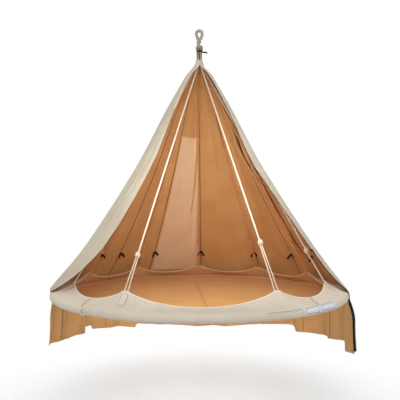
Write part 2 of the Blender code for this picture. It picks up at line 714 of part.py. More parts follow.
def cover_radius(height):
    """The inner face of the cover: just clear of the ropes, flaring over the hoop, then hanging down."""
    crest, above = (rope_radius_at(at) + ROPE_RADIUS + COVER_ROPE_GAP for at in (RING_CREST, height))
    on_ropes = min(above, crest)
    at_crest = HOOP_RADIUS + SLEEVE_RADIUS + CLOTH - COVER_CREST_INSET
    flare = (at_crest - crest) * exp(-max(height - RING_CREST, 0.0) / COVER_FLARE_FALL)
    hang = max(RING_CREST - height, 0.0)
    drop = SKIRT_STAND_OFF * (1 - exp(-hang / SKIRT_EASE))
    return on_ropes + flare + drop


def seams_at(height):
    """Azimuths of the left edge, the eight seams and the right edge."""
    upper = smooth_step(DRAWN_BACK_TO, DRAWN_BACK_FROM, height)
    seams = [low + (high - low) * upper for high, low in zip(UPPER_SEAMS, LOWER_SEAMS)]
    return [through(LEFT_EDGE, height), *seams, through(RIGHT_EDGE, height)]


def right_edge_pull(height):
    """What pulls the right edge straight between two heights."""
    def edge(at):
        return polar(through(RIGHT_EDGE, at), cover_radius(at), at)

    if not STRAIGHT_EDGE_BOTTOM < height < STRAIGHT_EDGE_TOP:
        return np.zeros(3)
    share = (height - STRAIGHT_EDGE_BOTTOM) / (STRAIGHT_EDGE_TOP - STRAIGHT_EDGE_BOTTOM)
    straight = edge(STRAIGHT_EDGE_BOTTOM) * (1 - share) + edge(STRAIGHT_EDGE_TOP) * share
    return straight - edge(height)


def cover_point(gore, share, height):
    """A point of the cover's inner face, a share of the way across a gore."""
    seams = seams_at(height)
    width = seams[gore + 1] - seams[gore]
    azimuth = seams[gore] + width * share
    fall = min((COVER_TOP - height) / COVER_TOP, 1.0)
    growth = 1 + HEM_FOLD_GROWTH * min(max(-height / HEM_SIDE_DEPTH, 0.0), 1.5)
    slack = max(GORE_FULL_WIDTH - width, 0.0)
    fold = (FOLD_BASE + FOLD_PER_DEGREE * slack) * fall * growth * sin(pi * share) ** 2
    point = polar(azimuth, cover_radius(height) + fold, height)
    if gore == len(UPPER_SEAMS):
        flick = smooth_step(-FLICK_FROM, -FLICK_TO, -height) * smooth_step(FLICK_SHARE, 1.0, share)
        point = point + right_edge_pull(height) * share ** 2 + polar(azimuth, EDGE_FLICK * flick, 0)
    return point


def cover_normal(gore, share, height):
    """The outward normal of the cover, the same on both sides of a seam."""
    count = len(UPPER_SEAMS)
    inside = min(max(share, 0.02), 0.98)
    if share < 0.02 and gore > 0:
        return unit(slope_normal(gore - 1, 0.98, height) + slope_normal(gore, 0.02, height))
    if share > 0.98 and gore < count:
        return unit(slope_normal(gore, 0.98, height) + slope_normal(gore + 1, 0.02, height))
    return slope_normal(gore, inside, height)


def slope_normal(gore, share, height):
    step = 0.004
    across = cover_point(gore, share + 0.01, height) - cover_point(gore, share - 0.01, height)
    down = cover_point(gore, share, height - step) - cover_point(gore, share, height + step)
    return unit(np.cross(across, down))


def hem_height(azimuth):
    return -HEM_SIDE_DEPTH - HEM_BACK_EXTRA * max(cos(radians(azimuth)), 0.0)


def gore_width(gore, height):
    seams = seams_at(height)
    return radians(seams[gore + 1] - seams[gore]) * cover_radius(height)


def gore_share(gore, column, height):
    """Where a column of a gore stands. The left gore's second one is the inner margin of its zip tape."""
    seam_gap = 0.6 * GAP / gore_width(gore, height)
    margin = TAPE_WIDTH / gore_width(gore, height)
    if gore == 0:
        shares = [0.0, *np.linspace(margin, 1.0, GORE_COLUMNS - 1)]
    else:
        shares = np.linspace(0.0, 1.0, GORE_COLUMNS)
    return min(max(shares[column], seam_gap), 1 - seam_gap)


def cover_layer(gore, offset, columns=range(GORE_COLUMNS)):
    """A grid of cover points moved along the normal by an offset, with its hem cut to height."""
    grid = []
    for column in columns:
        seams = seams_at(COVER_HEIGHTS[-1])
        hem = hem_height(seams[gore] + (seams[gore + 1] - seams[gore]) * column / (GORE_COLUMNS - 1))
        points = []
        for row in COVER_HEIGHTS:
            height = row if row > 0 else row * hem / COVER_HEIGHTS[-1]
            share = gore_share(gore, column, height)
            points.append(cover_point(gore, share, height) + offset * cover_normal(gore, share, height))
        grid.append(points)
    return np.array(grid)


def make_gores(centre, look):
    for gore in range(len(UPPER_SEAMS) + 1):
        inner = cover_layer(gore, 0.0)
        outer = cover_layer(gore, CLOTH)
        add(f"cover_gore_{gore + 1}", sheet("cover_gore", inner, outer), look, parent=centre)


def make_collar(centre, look):
    columns = 20
    layers = []
    for offset in (0.0, CLOTH):
        grid = []
        for column in range(columns):
            azimuth = 360 * column / columns
            low = cover_radius(COVER_TOP)
            top = rope_radius_at(COLLAR_TOP) + ROPE_RADIUS + SLIDING_GAP
            grid.append([polar(azimuth, low + offset, COVER_TOP + CLOTH / 2 + GAP),
                         polar(azimuth, (low + top) / 2 + offset, (COVER_TOP + COLLAR_TOP) / 2),
                         polar(azimuth, top + offset, COLLAR_TOP)])
        layers.append(np.array(grid))
    add("cover_collar", sheet("cover_collar", *layers, closed=True), look, parent=centre)


# Zip

def zip_frame(height):
    """A point of the right edge with its directions away from the cloth, down the edge and outwards."""
    def edge(at):
        return cover_point(len(UPPER_SEAMS), 1.0, at)

    step = 0.003
    down = unit(edge(height - step) - edge(height + step))
    if STRAIGHT_EDGE_BOTTOM <= height <= STRAIGHT_EDGE_TOP:
        down = unit(edge(STRAIGHT_EDGE_BOTTOM) - edge(STRAIGHT_EDGE_TOP))
    straight = (through(RIGHT_EDGE, STRAIGHT_EDGE_TOP) + through(RIGHT_EDGE, STRAIGHT_EDGE_BOTTOM)) / 2
    above = smooth_step(STRAIGHT_EDGE_TOP, STRAIGHT_EDGE_TOP + 0.2, height)
    below = smooth_step(-STRAIGHT_EDGE_BOTTOM, -STRAIGHT_EDGE_BOTTOM + 0.15, -height)
    own = through(RIGHT_EDGE, height)
    azimuth = straight + (own - straight) * max(above, below)
    rise = radians(30) * smooth_step(-0.05, 0.15, height)
    out = polar(azimuth, cos(rise), sin(rise))
    out = unit(out - np.dot(out, down) * down)
    return edge(height) + out * CLOTH / 2, np.cross(down, out), down, out


def make_right_tape(centre, look):
    """The tape beyond the right edge, with its row of teeth along the far side."""
    heights = [*COVER_HEIGHTS[ZIP_TOP_ROW:], -ZIP_TAIL_DEPTH]
    tape, bead = TAPE_THICKNESS / 2, BEAD_THICKNESS / 2
    shoulder = TAPE_WIDTH - BEAD_WIDTH
    section = [(SLIDING_GAP, -tape), (shoulder, -tape), (shoulder, -bead), (TAPE_WIDTH, -bead),
               (TAPE_WIDTH, bead), (shoulder, bead), (shoulder, tape), (SLIDING_GAP, tape)]
    rings = []
    for height in heights:
        place, across, _, out = zip_frame(height)
        ring = []
        for x, z in section:
            point = place + across * x
            if height < STRAIGHT_EDGE_BOTTOM:
                least = cover_radius(point[2]) + CLOTH / 2
                point[:2] *= max(least / hypot(point[0], point[1]), 1.0)
            ring.append(point + out * z)
        rings.append(ring)
    add("zip_tape_right", loft("zip_tape_right", rings), look, parent=centre)


def make_left_tape(centre, look):
    """The tape of the left edge, turned back against the inside of the cloth."""
    layers = {}
    for offset in (-SEWN_GAP, -SEWN_GAP - TAPE_THICKNESS, -SEWN_GAP - BEAD_THICKNESS):
        edge, margin = cover_layer(0, offset, (0, 1))[:, LEFT_ZIP_TOP_ROW:]
        layers[offset] = [edge + (margin - edge) * reach / TAPE_WIDTH
                          for reach in (0.0, BEAD_WIDTH, BEAD_WIDTH + GAP, TAPE_WIDTH)]
    against, tape, bead = layers.values()
    add("zip_tape_left", sheet("zip_tape_left", np.array(bead[:2] + tape[2:]), np.array(against)), look,
        parent=centre)


def slider_mesh(frame):
    """A body with a channel on each side of a post, and a bored bail on top."""
    post = SLIDER_POST / 2
    inner = post + SLIDING_GAP + BEAD_WIDTH + SLIDING_GAP
    wide = inner + SLIDER_LIP
    channel = BEAD_THICKNESS / 2 + SLIDING_GAP
    slot = TAPE_THICKNESS / 2 + SLIDING_GAP
    top = channel + SLIDER_PLATE
    quarter = [(wide, top), (wide, slot), (inner, slot), (inner, channel), (post, channel)]
    right = quarter + [(x, -z) for x, z in quarter[::-1]]
    section = right + [(-x, z) for x, z in right[::-1]]
    rings = [[(x, y, z) for x, z in section] for y in (-SLIDER_LENGTH / 2, SLIDER_LENGTH / 2)]
    body = helper("slider_body", loft("slider_body", rings), frame)
    bail_size = (BAIL_WIDTH, BAIL_LENGTH, BAIL_HEIGHT + SLIDER_PLATE / 2)
    bail_middle = (0, 0, top + BAIL_HEIGHT / 2 - SLIDER_PLATE / 4)
    bail = helper("slider_bail", box_mesh("slider_bail", bail_size, bail_middle), frame)
    outline = [(0, -BAIL_WIDTH), (BAIL_BORE, -BAIL_WIDTH), (BAIL_BORE, BAIL_WIDTH), (0, BAIL_WIDTH)]
    bore = helper("slider_bore", turned("slider_bore", outline, around(12)), frame)
    bore.rotation_euler = (0, radians(90), 0)
    bore.location = (0, 0, top + BAIL_HEIGHT / 2)
    boolean(body, bail, "UNION")
    boolean(body, bore, "DIFFERENCE")
    return evaluated_mesh(body), top + BAIL_HEIGHT / 2


def box_mesh(name, size, middle):
    x, y, z = (Vector(size) / 2)
    ring = [(-x, -y), (x, -y), (x, y), (-x, y)]
    rings = [[(a + middle[0], b + middle[1], height + middle[2]) for a, b in ring] for height in (-z, z)]
    return loft(name, rings)


def pull_mesh(frame):
    """A flat tab with a window, whose top bar is the pin in the bail. Its origin is on the pin."""
    window = (2 * (BAIL_WIDTH / 2 + 2 * SLIDING_GAP + EYELET_GAP), 0.0085)
    plate = helper("pull_plate", box_mesh("pull_plate", (PULL_WIDTH, PULL_LENGTH, PULL_THICKNESS),
                                          (0, PULL_LENGTH / 2 - PULL_PIN_RADIUS, 0)), frame)
    gap_size = (window[0], window[1] + 0.01, 4 * PULL_THICKNESS)
    gap = helper("pull_window", box_mesh("pull_window", gap_size, (0, window[1] / 2 - 0.01 / 2, 0)), frame)
    pin_half = (window[0] + PULL_WIDTH) / 4
    outline = [(0, -pin_half), (PULL_PIN_RADIUS, -pin_half), (PULL_PIN_RADIUS, pin_half), (0, pin_half)]
    pin = helper("pull_pin", turned("pull_pin", outline, around(10)), frame)
    pin.rotation_euler = (0, radians(90), 0)
    boolean(plate, gap, "DIFFERENCE")
    boolean(plate, pin, "UNION")
    return evaluated_mesh(plate)


def make_slider(centre, metal):
    place, across, down, out = zip_frame(SLIDER_HEIGHT)
    middle = place + across * (TAPE_WIDTH + SLIDING_GAP + SLIDER_POST / 2)
    turn = Matrix([Vector(across), Vector(down), Vector(out)]).transposed()
    frame = bpy.data.objects.new("zip_line", None)
    bpy.context.scene.collection.objects.link(frame)
    frame.parent = centre
    frame.location = Vector(middle)
    frame.rotation_euler = turn.to_euler()
    body, pin_height = slider_mesh(frame)
    add("zip_slider", body, metal, parent=frame)
    pull = add("zip_pull", pull_mesh(frame), metal, parent=frame)
    pull.location = (0, 0, pin_height)


# Trim

def make_window(centre, look):
    columns = range(1, GORE_COLUMNS - 1)
    layers = [cover_layer(WINDOW_GORE, offset, columns)[:, WINDOW_TOP_ROW:WINDOW_BOTTOM_ROW + 1]
              for offset in (-GAP - TRIM_THICKNESS, -GAP)]
    add("window_panel", sheet("window_panel", *layers), look, parent=centre)


def make_ties(centre, look):
    """Short tapes sewn to the seams beside the ropes, with both tails hanging."""
    route = [(-TIE_SPREAD / 2, -TIE_TAIL), (-TIE_SPREAD * 0.35, -TIE_TAIL * 0.45), (-0.003, 0), (0.003, 0),
             (TIE_SPREAD * 0.35, -TIE_TAIL * 0.45), (TIE_SPREAD / 2, -TIE_TAIL)]
    radius = cover_radius(TIE_HEIGHT) - EYELET_GAP
    layers = [np.array([[(x, radius - depth, TIE_HEIGHT + z), (x, radius - depth, TIE_HEIGHT + z - TIE_WIDTH)]
                        for x, z in route]) for depth in (0.0, TRIM_THICKNESS)]
    mesh = sheet("cover_tie", *layers)
    for number, azimuth in enumerate(TIE_AZIMUTHS):
        add(f"cover_tie_{number + 1}", mesh, look, azimuth, centre)


def cut_out(grid, columns, rows):
    """Part of a grid of points, between two columns and two rows that may lie between its own."""
    for axis, (low, high) in ((0, columns), (1, rows)):
        stations = [low, *range(int(low) + 1, ceil(high)), high]
        below = [min(int(station), grid.shape[axis] - 2) for station in stations]
        share = np.array(stations) - below
        share = share[:, None, None] if axis == 0 else share[None, :, None]
        first, second = grid.take(below, axis), grid.take(np.array(below) + 1, axis)
        grid = first + (second - first) * share
    return grid


def make_rim_trim(centre, look):
    """The blank tag on the front flange, and two closure patches on the sleeve beside it."""
    flange = SLEEVE_TURNS
    for name, number, columns, rows, gap in (
            ("blank_tag", TAG_SCALLOP, TAG_COLUMNS, (flange + TAG_LOW, flange + TAG_HIGH), TAG_LIFT),
            ("closure_patch_1", PATCH_SCALLOP, PATCH_COLUMNS[0], (PATCH_LOW, PATCH_HIGH), SEWN_GAP),
            ("closure_patch_2", PATCH_SCALLOP, PATCH_COLUMNS[1], (PATCH_LOW, PATCH_HIGH), SEWN_GAP)):
        layers = [cut_out(rim_layer(number, CLOTH + offset), columns, rows)
                  for offset in (gap, gap + TRIM_THICKNESS)]
        add(name, sheet(name, *layers), look, rope_azimuth(number), centre)


def main():
    for old in list(bpy.data.objects):
        bpy.data.objects.remove(old)
    centre = bpy.data.objects.new("hoop_centre", None)
    bpy.context.scene.collection.objects.link(centre)
    centre.location = (0, 0, -HANG_HEIGHT)

    cream = material("cream canvas", (0.75, 0.69, 0.58))
    tan_cloth = material("tan canvas", (0.50, 0.28, 0.12))
    rope = material("cotton rope", (0.85, 0.76, 0.62))
    eye_rope = material("weathered rope", (0.42, 0.38, 0.31))
    aluminium = material("aluminium", (0.77, 0.78, 0.79), 0.35, 1.0)
    steel = material("steel", (0.6, 0.6, 0.6), 0.3, 1.0)
    black = material("black webbing", (0.02, 0.02, 0.02), 0.7)

    make_hoop(centre, aluminium, steel)
    make_ropes(centre, rope)
    make_whipping(centre, eye_rope)
    make_eye(centre, eye_rope)
    make_strap(centre, black)
    make_rim(centre, cream)
    make_inner_wall(centre, tan_cloth)
    make_base(centre, tan_cloth)
    make_pads(centre, tan_cloth)
    make_gores(centre, cream)
    make_collar(centre, cream)
    make_right_tape(centre, black)
    make_left_tape(centre, black)
    make_slider(centre, steel)
    make_window(centre, tan_cloth)
    make_ties(centre, black)
    make_rim_trim(centre, cream)


main()
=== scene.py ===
"""Looks of the hanging bed: cloth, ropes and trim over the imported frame, with floor, lamps and camera.

Lengths are in metres and angles in degrees. Azimuths turn from the back (+Y) towards +X, and heights count
from the hoop's middle, as in the frame's own source.
"""

from math import radians

import bpy
import numpy as np
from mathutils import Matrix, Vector


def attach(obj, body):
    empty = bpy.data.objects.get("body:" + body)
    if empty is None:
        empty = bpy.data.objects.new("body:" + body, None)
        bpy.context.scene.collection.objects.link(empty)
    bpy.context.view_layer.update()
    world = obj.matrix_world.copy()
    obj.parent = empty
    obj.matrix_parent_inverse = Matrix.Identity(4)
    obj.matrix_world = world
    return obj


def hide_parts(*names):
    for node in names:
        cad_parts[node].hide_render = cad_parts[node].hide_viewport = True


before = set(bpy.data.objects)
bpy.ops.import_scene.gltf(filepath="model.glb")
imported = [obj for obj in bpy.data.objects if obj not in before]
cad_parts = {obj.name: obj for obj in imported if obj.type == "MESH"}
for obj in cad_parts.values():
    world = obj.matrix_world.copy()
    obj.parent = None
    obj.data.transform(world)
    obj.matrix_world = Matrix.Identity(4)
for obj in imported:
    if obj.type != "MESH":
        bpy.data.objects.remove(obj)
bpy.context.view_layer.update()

# Sizes, most of them shared with the frame
HANG_HEIGHT = 1.724
HOOP_RADIUS = 0.8772
TUBE_RADIUS = 0.0135
ROPE_COUNT = 9
ROPE_STEP = 38.18
FIRST_ROPE = -0.99
ROPE_RADIUS = 0.0045
KNOT_ROPE_RADIUS = 0.0046
LEG_RADIUS = 0.00325
LEG_SPREAD = 0.010
KNOT_HEIGHTS = (0.279, 0.280, 0.312, 0.256, 0.308, 0.247, 0.236, 0.228, 0.170)
ROPE_MEET = 1.513
ROPE_HEIGHTS = (1.56, 1.53, 1.505, 1.485, 1.465, 1.44, 1.40, 1.30, 1.1, 0.8, 0.5)
BUNDLE_RADIUS = 0.0140
BUNDLE_TOP = 1.620
BUNDLE_EASE = 0.012
WHIPPING_CORD_RADIUS = 0.0024
WHIPPING_TURNS = 4
WHIPPING_PITCH = 0.0056
WHIPPING_BOTTOM = 1.595
STRAP_HEIGHT = 1.583
STRAP_WIDTH = 0.012
STRAP_TAIL = 0.034
EYE_ROPE_RADIUS = 0.0098
EYE_HALF_WIDTH = 0.0205
EYE_CROSSING = 0.060
EYE_CORE_BOTTOM = 1.585
CLOTH = 0.002
PEAK_RADIUS = 0.774
PEAK_HEIGHT = 0.080
VALLEY_RADIUS = 0.785
VALLEY_HEIGHT = 0.032
FRONT_VALLEY_HEIGHT = 0.026
SCALLOP_POWER = 2.2
SCALLOP_STEP = 0.012
ARC_POINTS = 18
WALL_RADIUS = 0.8465
WALL_BEND = -0.004
EDGE_GAP = 0.0006
SLIT_WIDTH = 0.0103
SLIT_HALF_LENGTH = 0.018
SLIT_END = 0.042
SLEEVE_RADIUS = 0.0208
BASE_RADIUS = 0.8555
BASE_FLAT_RADIUS = 0.782
PAD_TOP = -0.010
PAD_BOTTOM = -0.0378
PAD_RADIUS = 0.8405
PAD_SPLIT_TURN = 3.6
WELT_DROP = 0.0095
WELT_RADIUS = 0.0014
COVER_TOP = 1.4894
COLLAR_TOP = 1.530
RING_CREST = 0.030
UPPER_SEAMS = (-103.0, -69.0, -53.0, -29.0, 1.0, 36.0, 64.0, 86.0)
LOWER_SEAMS = (-84.5, -69.0, -53.0, -29.0, 1.0, 36.0, 60.0, 79.0)
GORES = len(UPPER_SEAMS) + 1
LEFT_EDGE = (
    (1.490, -177.0), (1.450, -158.0), (1.370, -143.0), (1.200, -140.5), (0.800, -140.5), (0.500, -138.0),
    (0.350, -136.0), (0.250, -133.6), (0.200, -130.9), (0.150, -127.8), (0.100, -123.0), (0.050, -115.0),
    (0.000, -102.0),
    (-0.050, -95.0), (-0.120, -93.0), (-0.500, -92.5),
)
RIGHT_EDGE = (
    (1.490, 177.0), (1.450, 155.0), (1.370, 138.0), (1.200, 131.0), (1.000, 129.0), (0.740, 130.0),
    (0.240, 118.0), (0.120, 116.0), (0.060, 112.0), (0.020, 107.0), (-0.020, 100.0), (-0.060, 96.0),
    (-0.120, 94.5), (-0.500, 94.0),
)
STRAIGHT_EDGE_TOP = 0.740
STRAIGHT_EDGE_BOTTOM = 0.240
ZIP_BORDER_BOTTOM = 0.235
TIE_AZIMUTHS = (-69.0, -53.0, -29.0, 1.0, 36.0, 64.0, 86.0)
TIE_HEIGHT = 0.200
TIE_WIDTH = 0.015
TIE_KNOT_RADIUS = 0.0038
RIM_LOOP_AZIMUTH = 216.6
RIM_LOOP_WIDTH = 0.0046
PATCH_1 = (141.23, 148.27)
PATCH_2 = (131.79, 141.19)
PATCH_SHARES = (0.22, 0.44)
PATCH_LIFT = 0.0006
TAG_TOP = (204.2, 206.8)
TAG_BOTTOM = (202.5, 205.1)
TAG_SHARES = (0.62, 0.955)

# A line on the rim is divided as if the way from under the tube up to the edge were this many degrees long
RIM_DEGREES = 20

# Cloth as drawn, thinner than the frame's
CANVAS = 0.0010
STOUT_CANVAS = 0.0012
THIN_CANVAS = 0.0009
TAPE = 0.0011

# Grid lines across a tape of width 1
TAPE_LINES = np.linspace(-0.5, 0.5, 5)

# Tops and bottoms of trim, as heights
RIGHT_TAPE_ENDS = (1.440, -0.378)
LEFT_TAPE_ENDS = (1.366, -0.332)
FACING_BOTTOM = 1.125
WINDOW_TOP = 1.060
WINDOW_BOTTOM = 0.045
WINDOW_STRIP_ENDS = (1.05, 0.50)

# Grid of the cover: columns in each gore, rows above and below the hoop, and where down it the hem starts
GORE_COLUMNS = 26
COVER_ROWS = 150
SKIRT_ROWS = 46
HEM_ROWS = (1.918, 1.925)
HEM_STITCH_COLUMNS = 89

# Felled seams of the cover, and which of them have paler painted shade in their crease below the hoop
SEAM_CLOTH = 0.0007
SEAM_HALF_WIDTH = 0.0058
SOFT_SEAMS = (2, 3, 4)

# How far one turn of each rope's strands takes, and how far apart the rings of its mesh are
LINE_LAY = 0.030
KNOT_LAY = 0.024
LEG_LAY = 0.022
WHIPPING_LAY = 0.012
EYE_LAY = 0.042
LINE_STEP = 0.0032
KNOT_STEP = 0.0014
LEG_STEP = 0.0026
WHIPPING_STEP = 0.0016
EYE_STEP = 0.003

# Knots and legs of the ropes
KNOT_TURNS = 3
KNOT_REACH = 0.0088
KNOT_LENGTH = 0.0215
LEG_START = (0.0048, 0, -0.004)
LEG_GAP = 0.0006

# Whipping, eye and strap of the crown
WHIPPING_GAP = 0.0003
EYE_FULLNESS = 1.08
EYE_GAP = 0.0002
STRAP_GAP = 0.0004
STRAP_NARROWING = 0.8
STRAP_THICKNESS = 0.0020
STRAP_END_THICKNESS = 0.0050
STRAP_END_POINTS = 5

# Relief of the tray's cloth: folds beside the ropes, creases, and slack of the flange between the ropes
RIM_PUCKERS = 0.0007
RIM_CREASES = (0.0009, 0.0005)
RIM_SLACK = 0.0035
LINING_CREASES = 0.0012
BASE_PUCKERS = 0.0016
BASE_SAG = 0.006

# Pads: the split between them, their rounded edge, crown and creases
PAD_HALF_SPLIT = 0.0012
PAD_ROUNDING = 0.012
PAD_CROWN = 0.0042
PAD_CREASES = (0.0012, 0.0006)
PAD_PUCKERS = 0.0007

# Relief of the cover: pleats and creases above the hoop, folds and waves below it
COVER_PLEATS = (0.0080, 0.0042)
COVER_CREASES = (0.0011, 0.0013, 0.0026)
SKIRT_RELIEF = (0.0150, 0.0060)

# How high seams and their stitches lie on the cover's two sides
SEAM_LIFTS = (-0.0009, 0.0011)

# Front facing and collar
FACING_WIDTH = 0.020
FACING_ROLL = 0.0075
COLLAR_FOLDS = (0.0011, 0.0009)

# Stitches
STITCH_PITCH = 0.006
STITCH_LENGTH = 0.0042
STITCH_WIDTH = 0.0009
STITCH_HEIGHT = 0.0005
SEAM_STITCH = {"pitch": 0.009, "length": 0.006}
HEM_STITCH = {"pitch": 0.010, "length": 0.007}
ZIP_TOOTH = {"pitch": 0.0030, "length": 0.0023, "width": 0.0044}

# Seams of the rim as (azimuth, share of the way from under the tube up to the edge)
RIM_SEAMS = (
    ((217.0, 0.06), (217.0, 0.37), (218.2, 0.55), (221.1, 0.77), (222.6, 0.985)),
    ((141.3, 0.06), (141.2, 0.45), (139.6, 0.60), (138.2, 0.77), (134.4, 0.985)),
)

# Depth of the skirt below the hoop, as (azimuth, depth)
HEM = (
    (-100.0, 0.352), (-87.4, 0.352), (-84.5, 0.349), (-83.6, 0.356), (-76.7, 0.374), (-72.9, 0.364),
    (-65.0, 0.376), (-63.9, 0.342), (-60.5, 0.341), (-59.5, 0.372), (-47.5, 0.388), (-35.2, 0.424),
    (-34.4, 0.396), (-21.7, 0.424), (-8.0, 0.446), (-0.2, 0.450), (9.0, 0.440), (14.0, 0.450), (22.4, 0.431),
    (30.0, 0.408), (39.5, 0.387), (50.8, 0.369), (53.0, 0.384), (54.6, 0.401), (63.8, 0.383), (69.4, 0.379),
    (79.4, 0.362), (87.8, 0.345), (88.6, 0.394), (100.0, 0.394),
)

# Height at which a column of the cover has the azimuth that the table above is read at
SKIRT_HEIGHT = -0.35

# How far the cover's shoulders stand out below the crown, and its front edges below the hoop
SHOULDER = 0.024
EDGE_FLICK = 0.055

# Creases of the cover as points of (height, azimuth), with their width in degrees and depth outwards
FOLDS = (
    (((1.30, -38.0), (0.80, -37.0), (0.45, -37.0), (0.06, -38.0)), 2.4, 0.014),
    (((1.10, -64.0), (0.75, -62.5), (0.35, -61.5), (0.02, -62.0)), 2.2, 0.013),
    (((1.00, -80.0), (0.60, -79.0), (0.10, -80.0)), 2.6, 0.012),
    (((1.36, 20.0), (0.90, 19.0), (0.40, 17.0), (0.05, 18.0)), 3.6, 0.010),
    (((1.30, -14.0), (0.90, -11.0), (0.50, -8.0), (0.20, -7.0)), 2.6, 0.009),
    (((1.10, 48.0), (0.70, 50.0), (0.30, 50.0)), 4.0, 0.009),
)

# Creases of the skirt as (azimuth, width in degrees, depth outwards)
SKIRT_FOLDS = (
    (-83.8, 1.2, 0.022), (-64.2, 1.0, 0.022), (69.4, 1.1, 0.015), (79.4, 1.0, 0.015), (87.2, 1.0, 0.013),
    (52.0, 1.8, 0.013),
)

# Folds that hang into the cover from its gathered right side: their lines, half widths and depths inwards
GATHERS = (
    (((1.26, 59.0), (1.10, 62.7), (0.92, 62.0), (0.77, 67.1), (0.66, 70.0)), 0.015, 0.024),
    (((1.14, 81.0), (0.985, 77.0), (0.82, 71.5), (0.70, 71.0)), 0.018, 0.026),
    (((0.86, 72.3), (0.58, 71.4), (0.41, 72.0), (0.257, 72.0), (0.154, 74.0), (0.05, 75.0)), 0.010, 0.016),
)

# Section of those folds as (reach across in half widths, share of the depth), and places of the dark strip of
# painted shade in them
GATHER_ROLL = (
    (-1.4, 0.0), (-1.0, 0.16), (-0.6, 0.55), (-0.2, 0.90), (0.2, 1.0), (0.6, 0.88), (0.82, 0.6), (0.7, 0.34),
    (0.4, 0.22), (0.1, 0.10),
)
GATHER_SHADE_STRIP = (0.2, 0.55, 0.9, 1.3)

# Stage. The floor's shadow fades to white over shares of its reach.
FLOOR_SIZE = 60
FLOOR_HEIGHT = -2.33
SHADOW_SHIFT = (0, 0.22, 0)
SHADOW_REACH = (1.75, 1.25)
SHADOW_FADE = (0.25, 0.9)
FLOOR_COLOUR = (0.59, 0.63, 0.69)
FLOOR_LIFT = 0.35
WORLD_LIGHT = 0.79

# Lamps as name, place, target, diameter, watts and degrees of spread
LAMPS = (
    ("key", (-1.4, -4.4, 1.4), (0, 0, -1.2), 2.4, 26, 180),
    ("front", (0.7, -4.4, -0.8), (0, 0.5, -1.0), 2.2, 12, 180),
    ("opening", (0.05, -0.75, -1.0), (0, 0.7, -1.45), 0.8, 4.4, 150),
    ("under", (0.0, -0.55, -2.15), (0, 0.8, -1.55), 1.0, 8, 105),
)

# Camera, found from the hoop's ellipse in the photograph
CAMERA_PLACE = (0.0045, -2.5241, -1.3682)
CAMERA_TILT = 94.908
LENS = 34.63
SENSOR = 36


# Numbers and curves

def smooth_step(low, high, value):
    share = np.clip((np.asarray(value, float) - low) / (high - low), 0.0, 1.0)
    return share * share * (3 - 2 * share)


def bump(middle, half_width, value):
    """1 at the middle, easing to 0 at a half width from it."""
    return 1 - smooth_step(0.0, half_width, np.abs(np.asarray(value, float) - middle))


def polar(azimuth, radius, height):
    turn = np.radians(azimuth)
    parts = np.broadcast_arrays(radius * np.sin(turn), radius * np.cos(turn), height)
    return np.stack(parts, axis=-1)


def unit(vectors):
    return vectors / np.maximum(np.linalg.norm(vectors, axis=-1, keepdims=True), 1e-12)


def curve(keys, values, at):
    """Points at some keys on a smooth curve through a row of values at rising keys."""
    slopes = np.gradient(values, keys, axis=0)
    i = np.clip(np.searchsorted(keys, at) - 1, 0, len(keys) - 2)
    width = keys[i + 1] - keys[i]
    t = (at - keys[i]) / width
    if values.ndim > 1:
        width, t = width[:, None], t[:, None]
    start = (1 + 2 * t) * (1 - t) ** 2 * values[i] + t * (1 - t) ** 2 * width * slopes[i]
    return start + (t * t * (3 - 2 * t) * values[i + 1] + t * t * (t - 1) * width * slopes[i + 1])


def through(table, value):
    """A smooth curve through (key, value) pairs whose keys fall."""
    keys, values = np.array(table)[::-1].T
    return curve(keys, values, np.clip(value, keys[0], keys[-1]))


def hashed(i, j, seed):
    value = np.sin(i * 127.1 + j * 311.7 + seed * 74.7) * 43758.5453
    return 2 * (value - np.floor(value)) - 1


def soft_noise(x, y, seed=0):
    """Smooth noise between -1 and 1, the same on every run."""
    i, j = np.floor(x), np.floor(y)
    u, v = smooth_step(0, 1, x - i), smooth_step(0, 1, y - j)
    low = hashed(i, j, seed) * (1 - u) + hashed(i + 1, j, seed) * u
    high = hashed(i, j + 1, seed) * (1 - u) + hashed(i + 1, j + 1, seed) * u
    return low * (1 - v) + high * v


def line_keys(points):
    """How far along a line each of its points is."""
    return np.append(0, np.cumsum(np.linalg.norm(np.diff(points, axis=0), axis=1)))


def resampled(points, step):
    """The same line with points evenly spaced along it, on a smooth curve through the given ones."""
    points = np.array(points, float)
    keys = line_keys(points)
    return curve(keys, points, np.linspace(0, keys[-1], max(int(round(keys[-1] / step)), 2) + 1))


# Meshes

def new_piece(name, points, faces, looks, nodes=(), slot=None, uv=None, which=None, body="bed", smooth=50):
    """A piece in the row's frame, from points whose heights count from the hoop's middle."""
    mesh = bpy.data.meshes.new(name)
    points = np.asarray(points, float) - (0, 0, HANG_HEIGHT)
    mesh.from_pydata(points.tolist(), [], [list(map(int, face)) for face in faces])
    for look in looks:
        mesh.materials.append(look)
    if which is not None:
        mesh.polygons.foreach_set("material_index", np.asarray(which, np.int32))
    if uv is not None:
        layer = mesh.uv_layers.new(name="UVMap")
        corners = np.empty(len(mesh.loops), np.int32)
        mesh.loops.foreach_get("vertex_index", corners)
        layer.uv.foreach_set("vector", np.asarray(uv, np.float32)[corners].ravel())
    mesh.update()
    mesh.shade_smooth()
    mesh.set_sharp_from_angle(angle=radians(smooth))
    made = bpy.data.objects.new(name, mesh)
    bpy.context.scene.collection.objects.link(made)
    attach(made, body)
    if nodes:
        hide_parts(*nodes)
    return made


def grid_faces(rows, columns, wrap=False):
    """Quads over a grid of rows by columns whose normal is row direction cross column direction."""
    i, j = np.meshgrid(np.arange(rows if wrap else rows - 1), np.arange(columns - 1), indexing="ij")
    after = (i + 1) % rows
    quads = [i * columns + j, after * columns + j, after * columns + j + 1, i * columns + j + 1]
    return np.stack(quads, axis=-1).reshape(-1, 4)


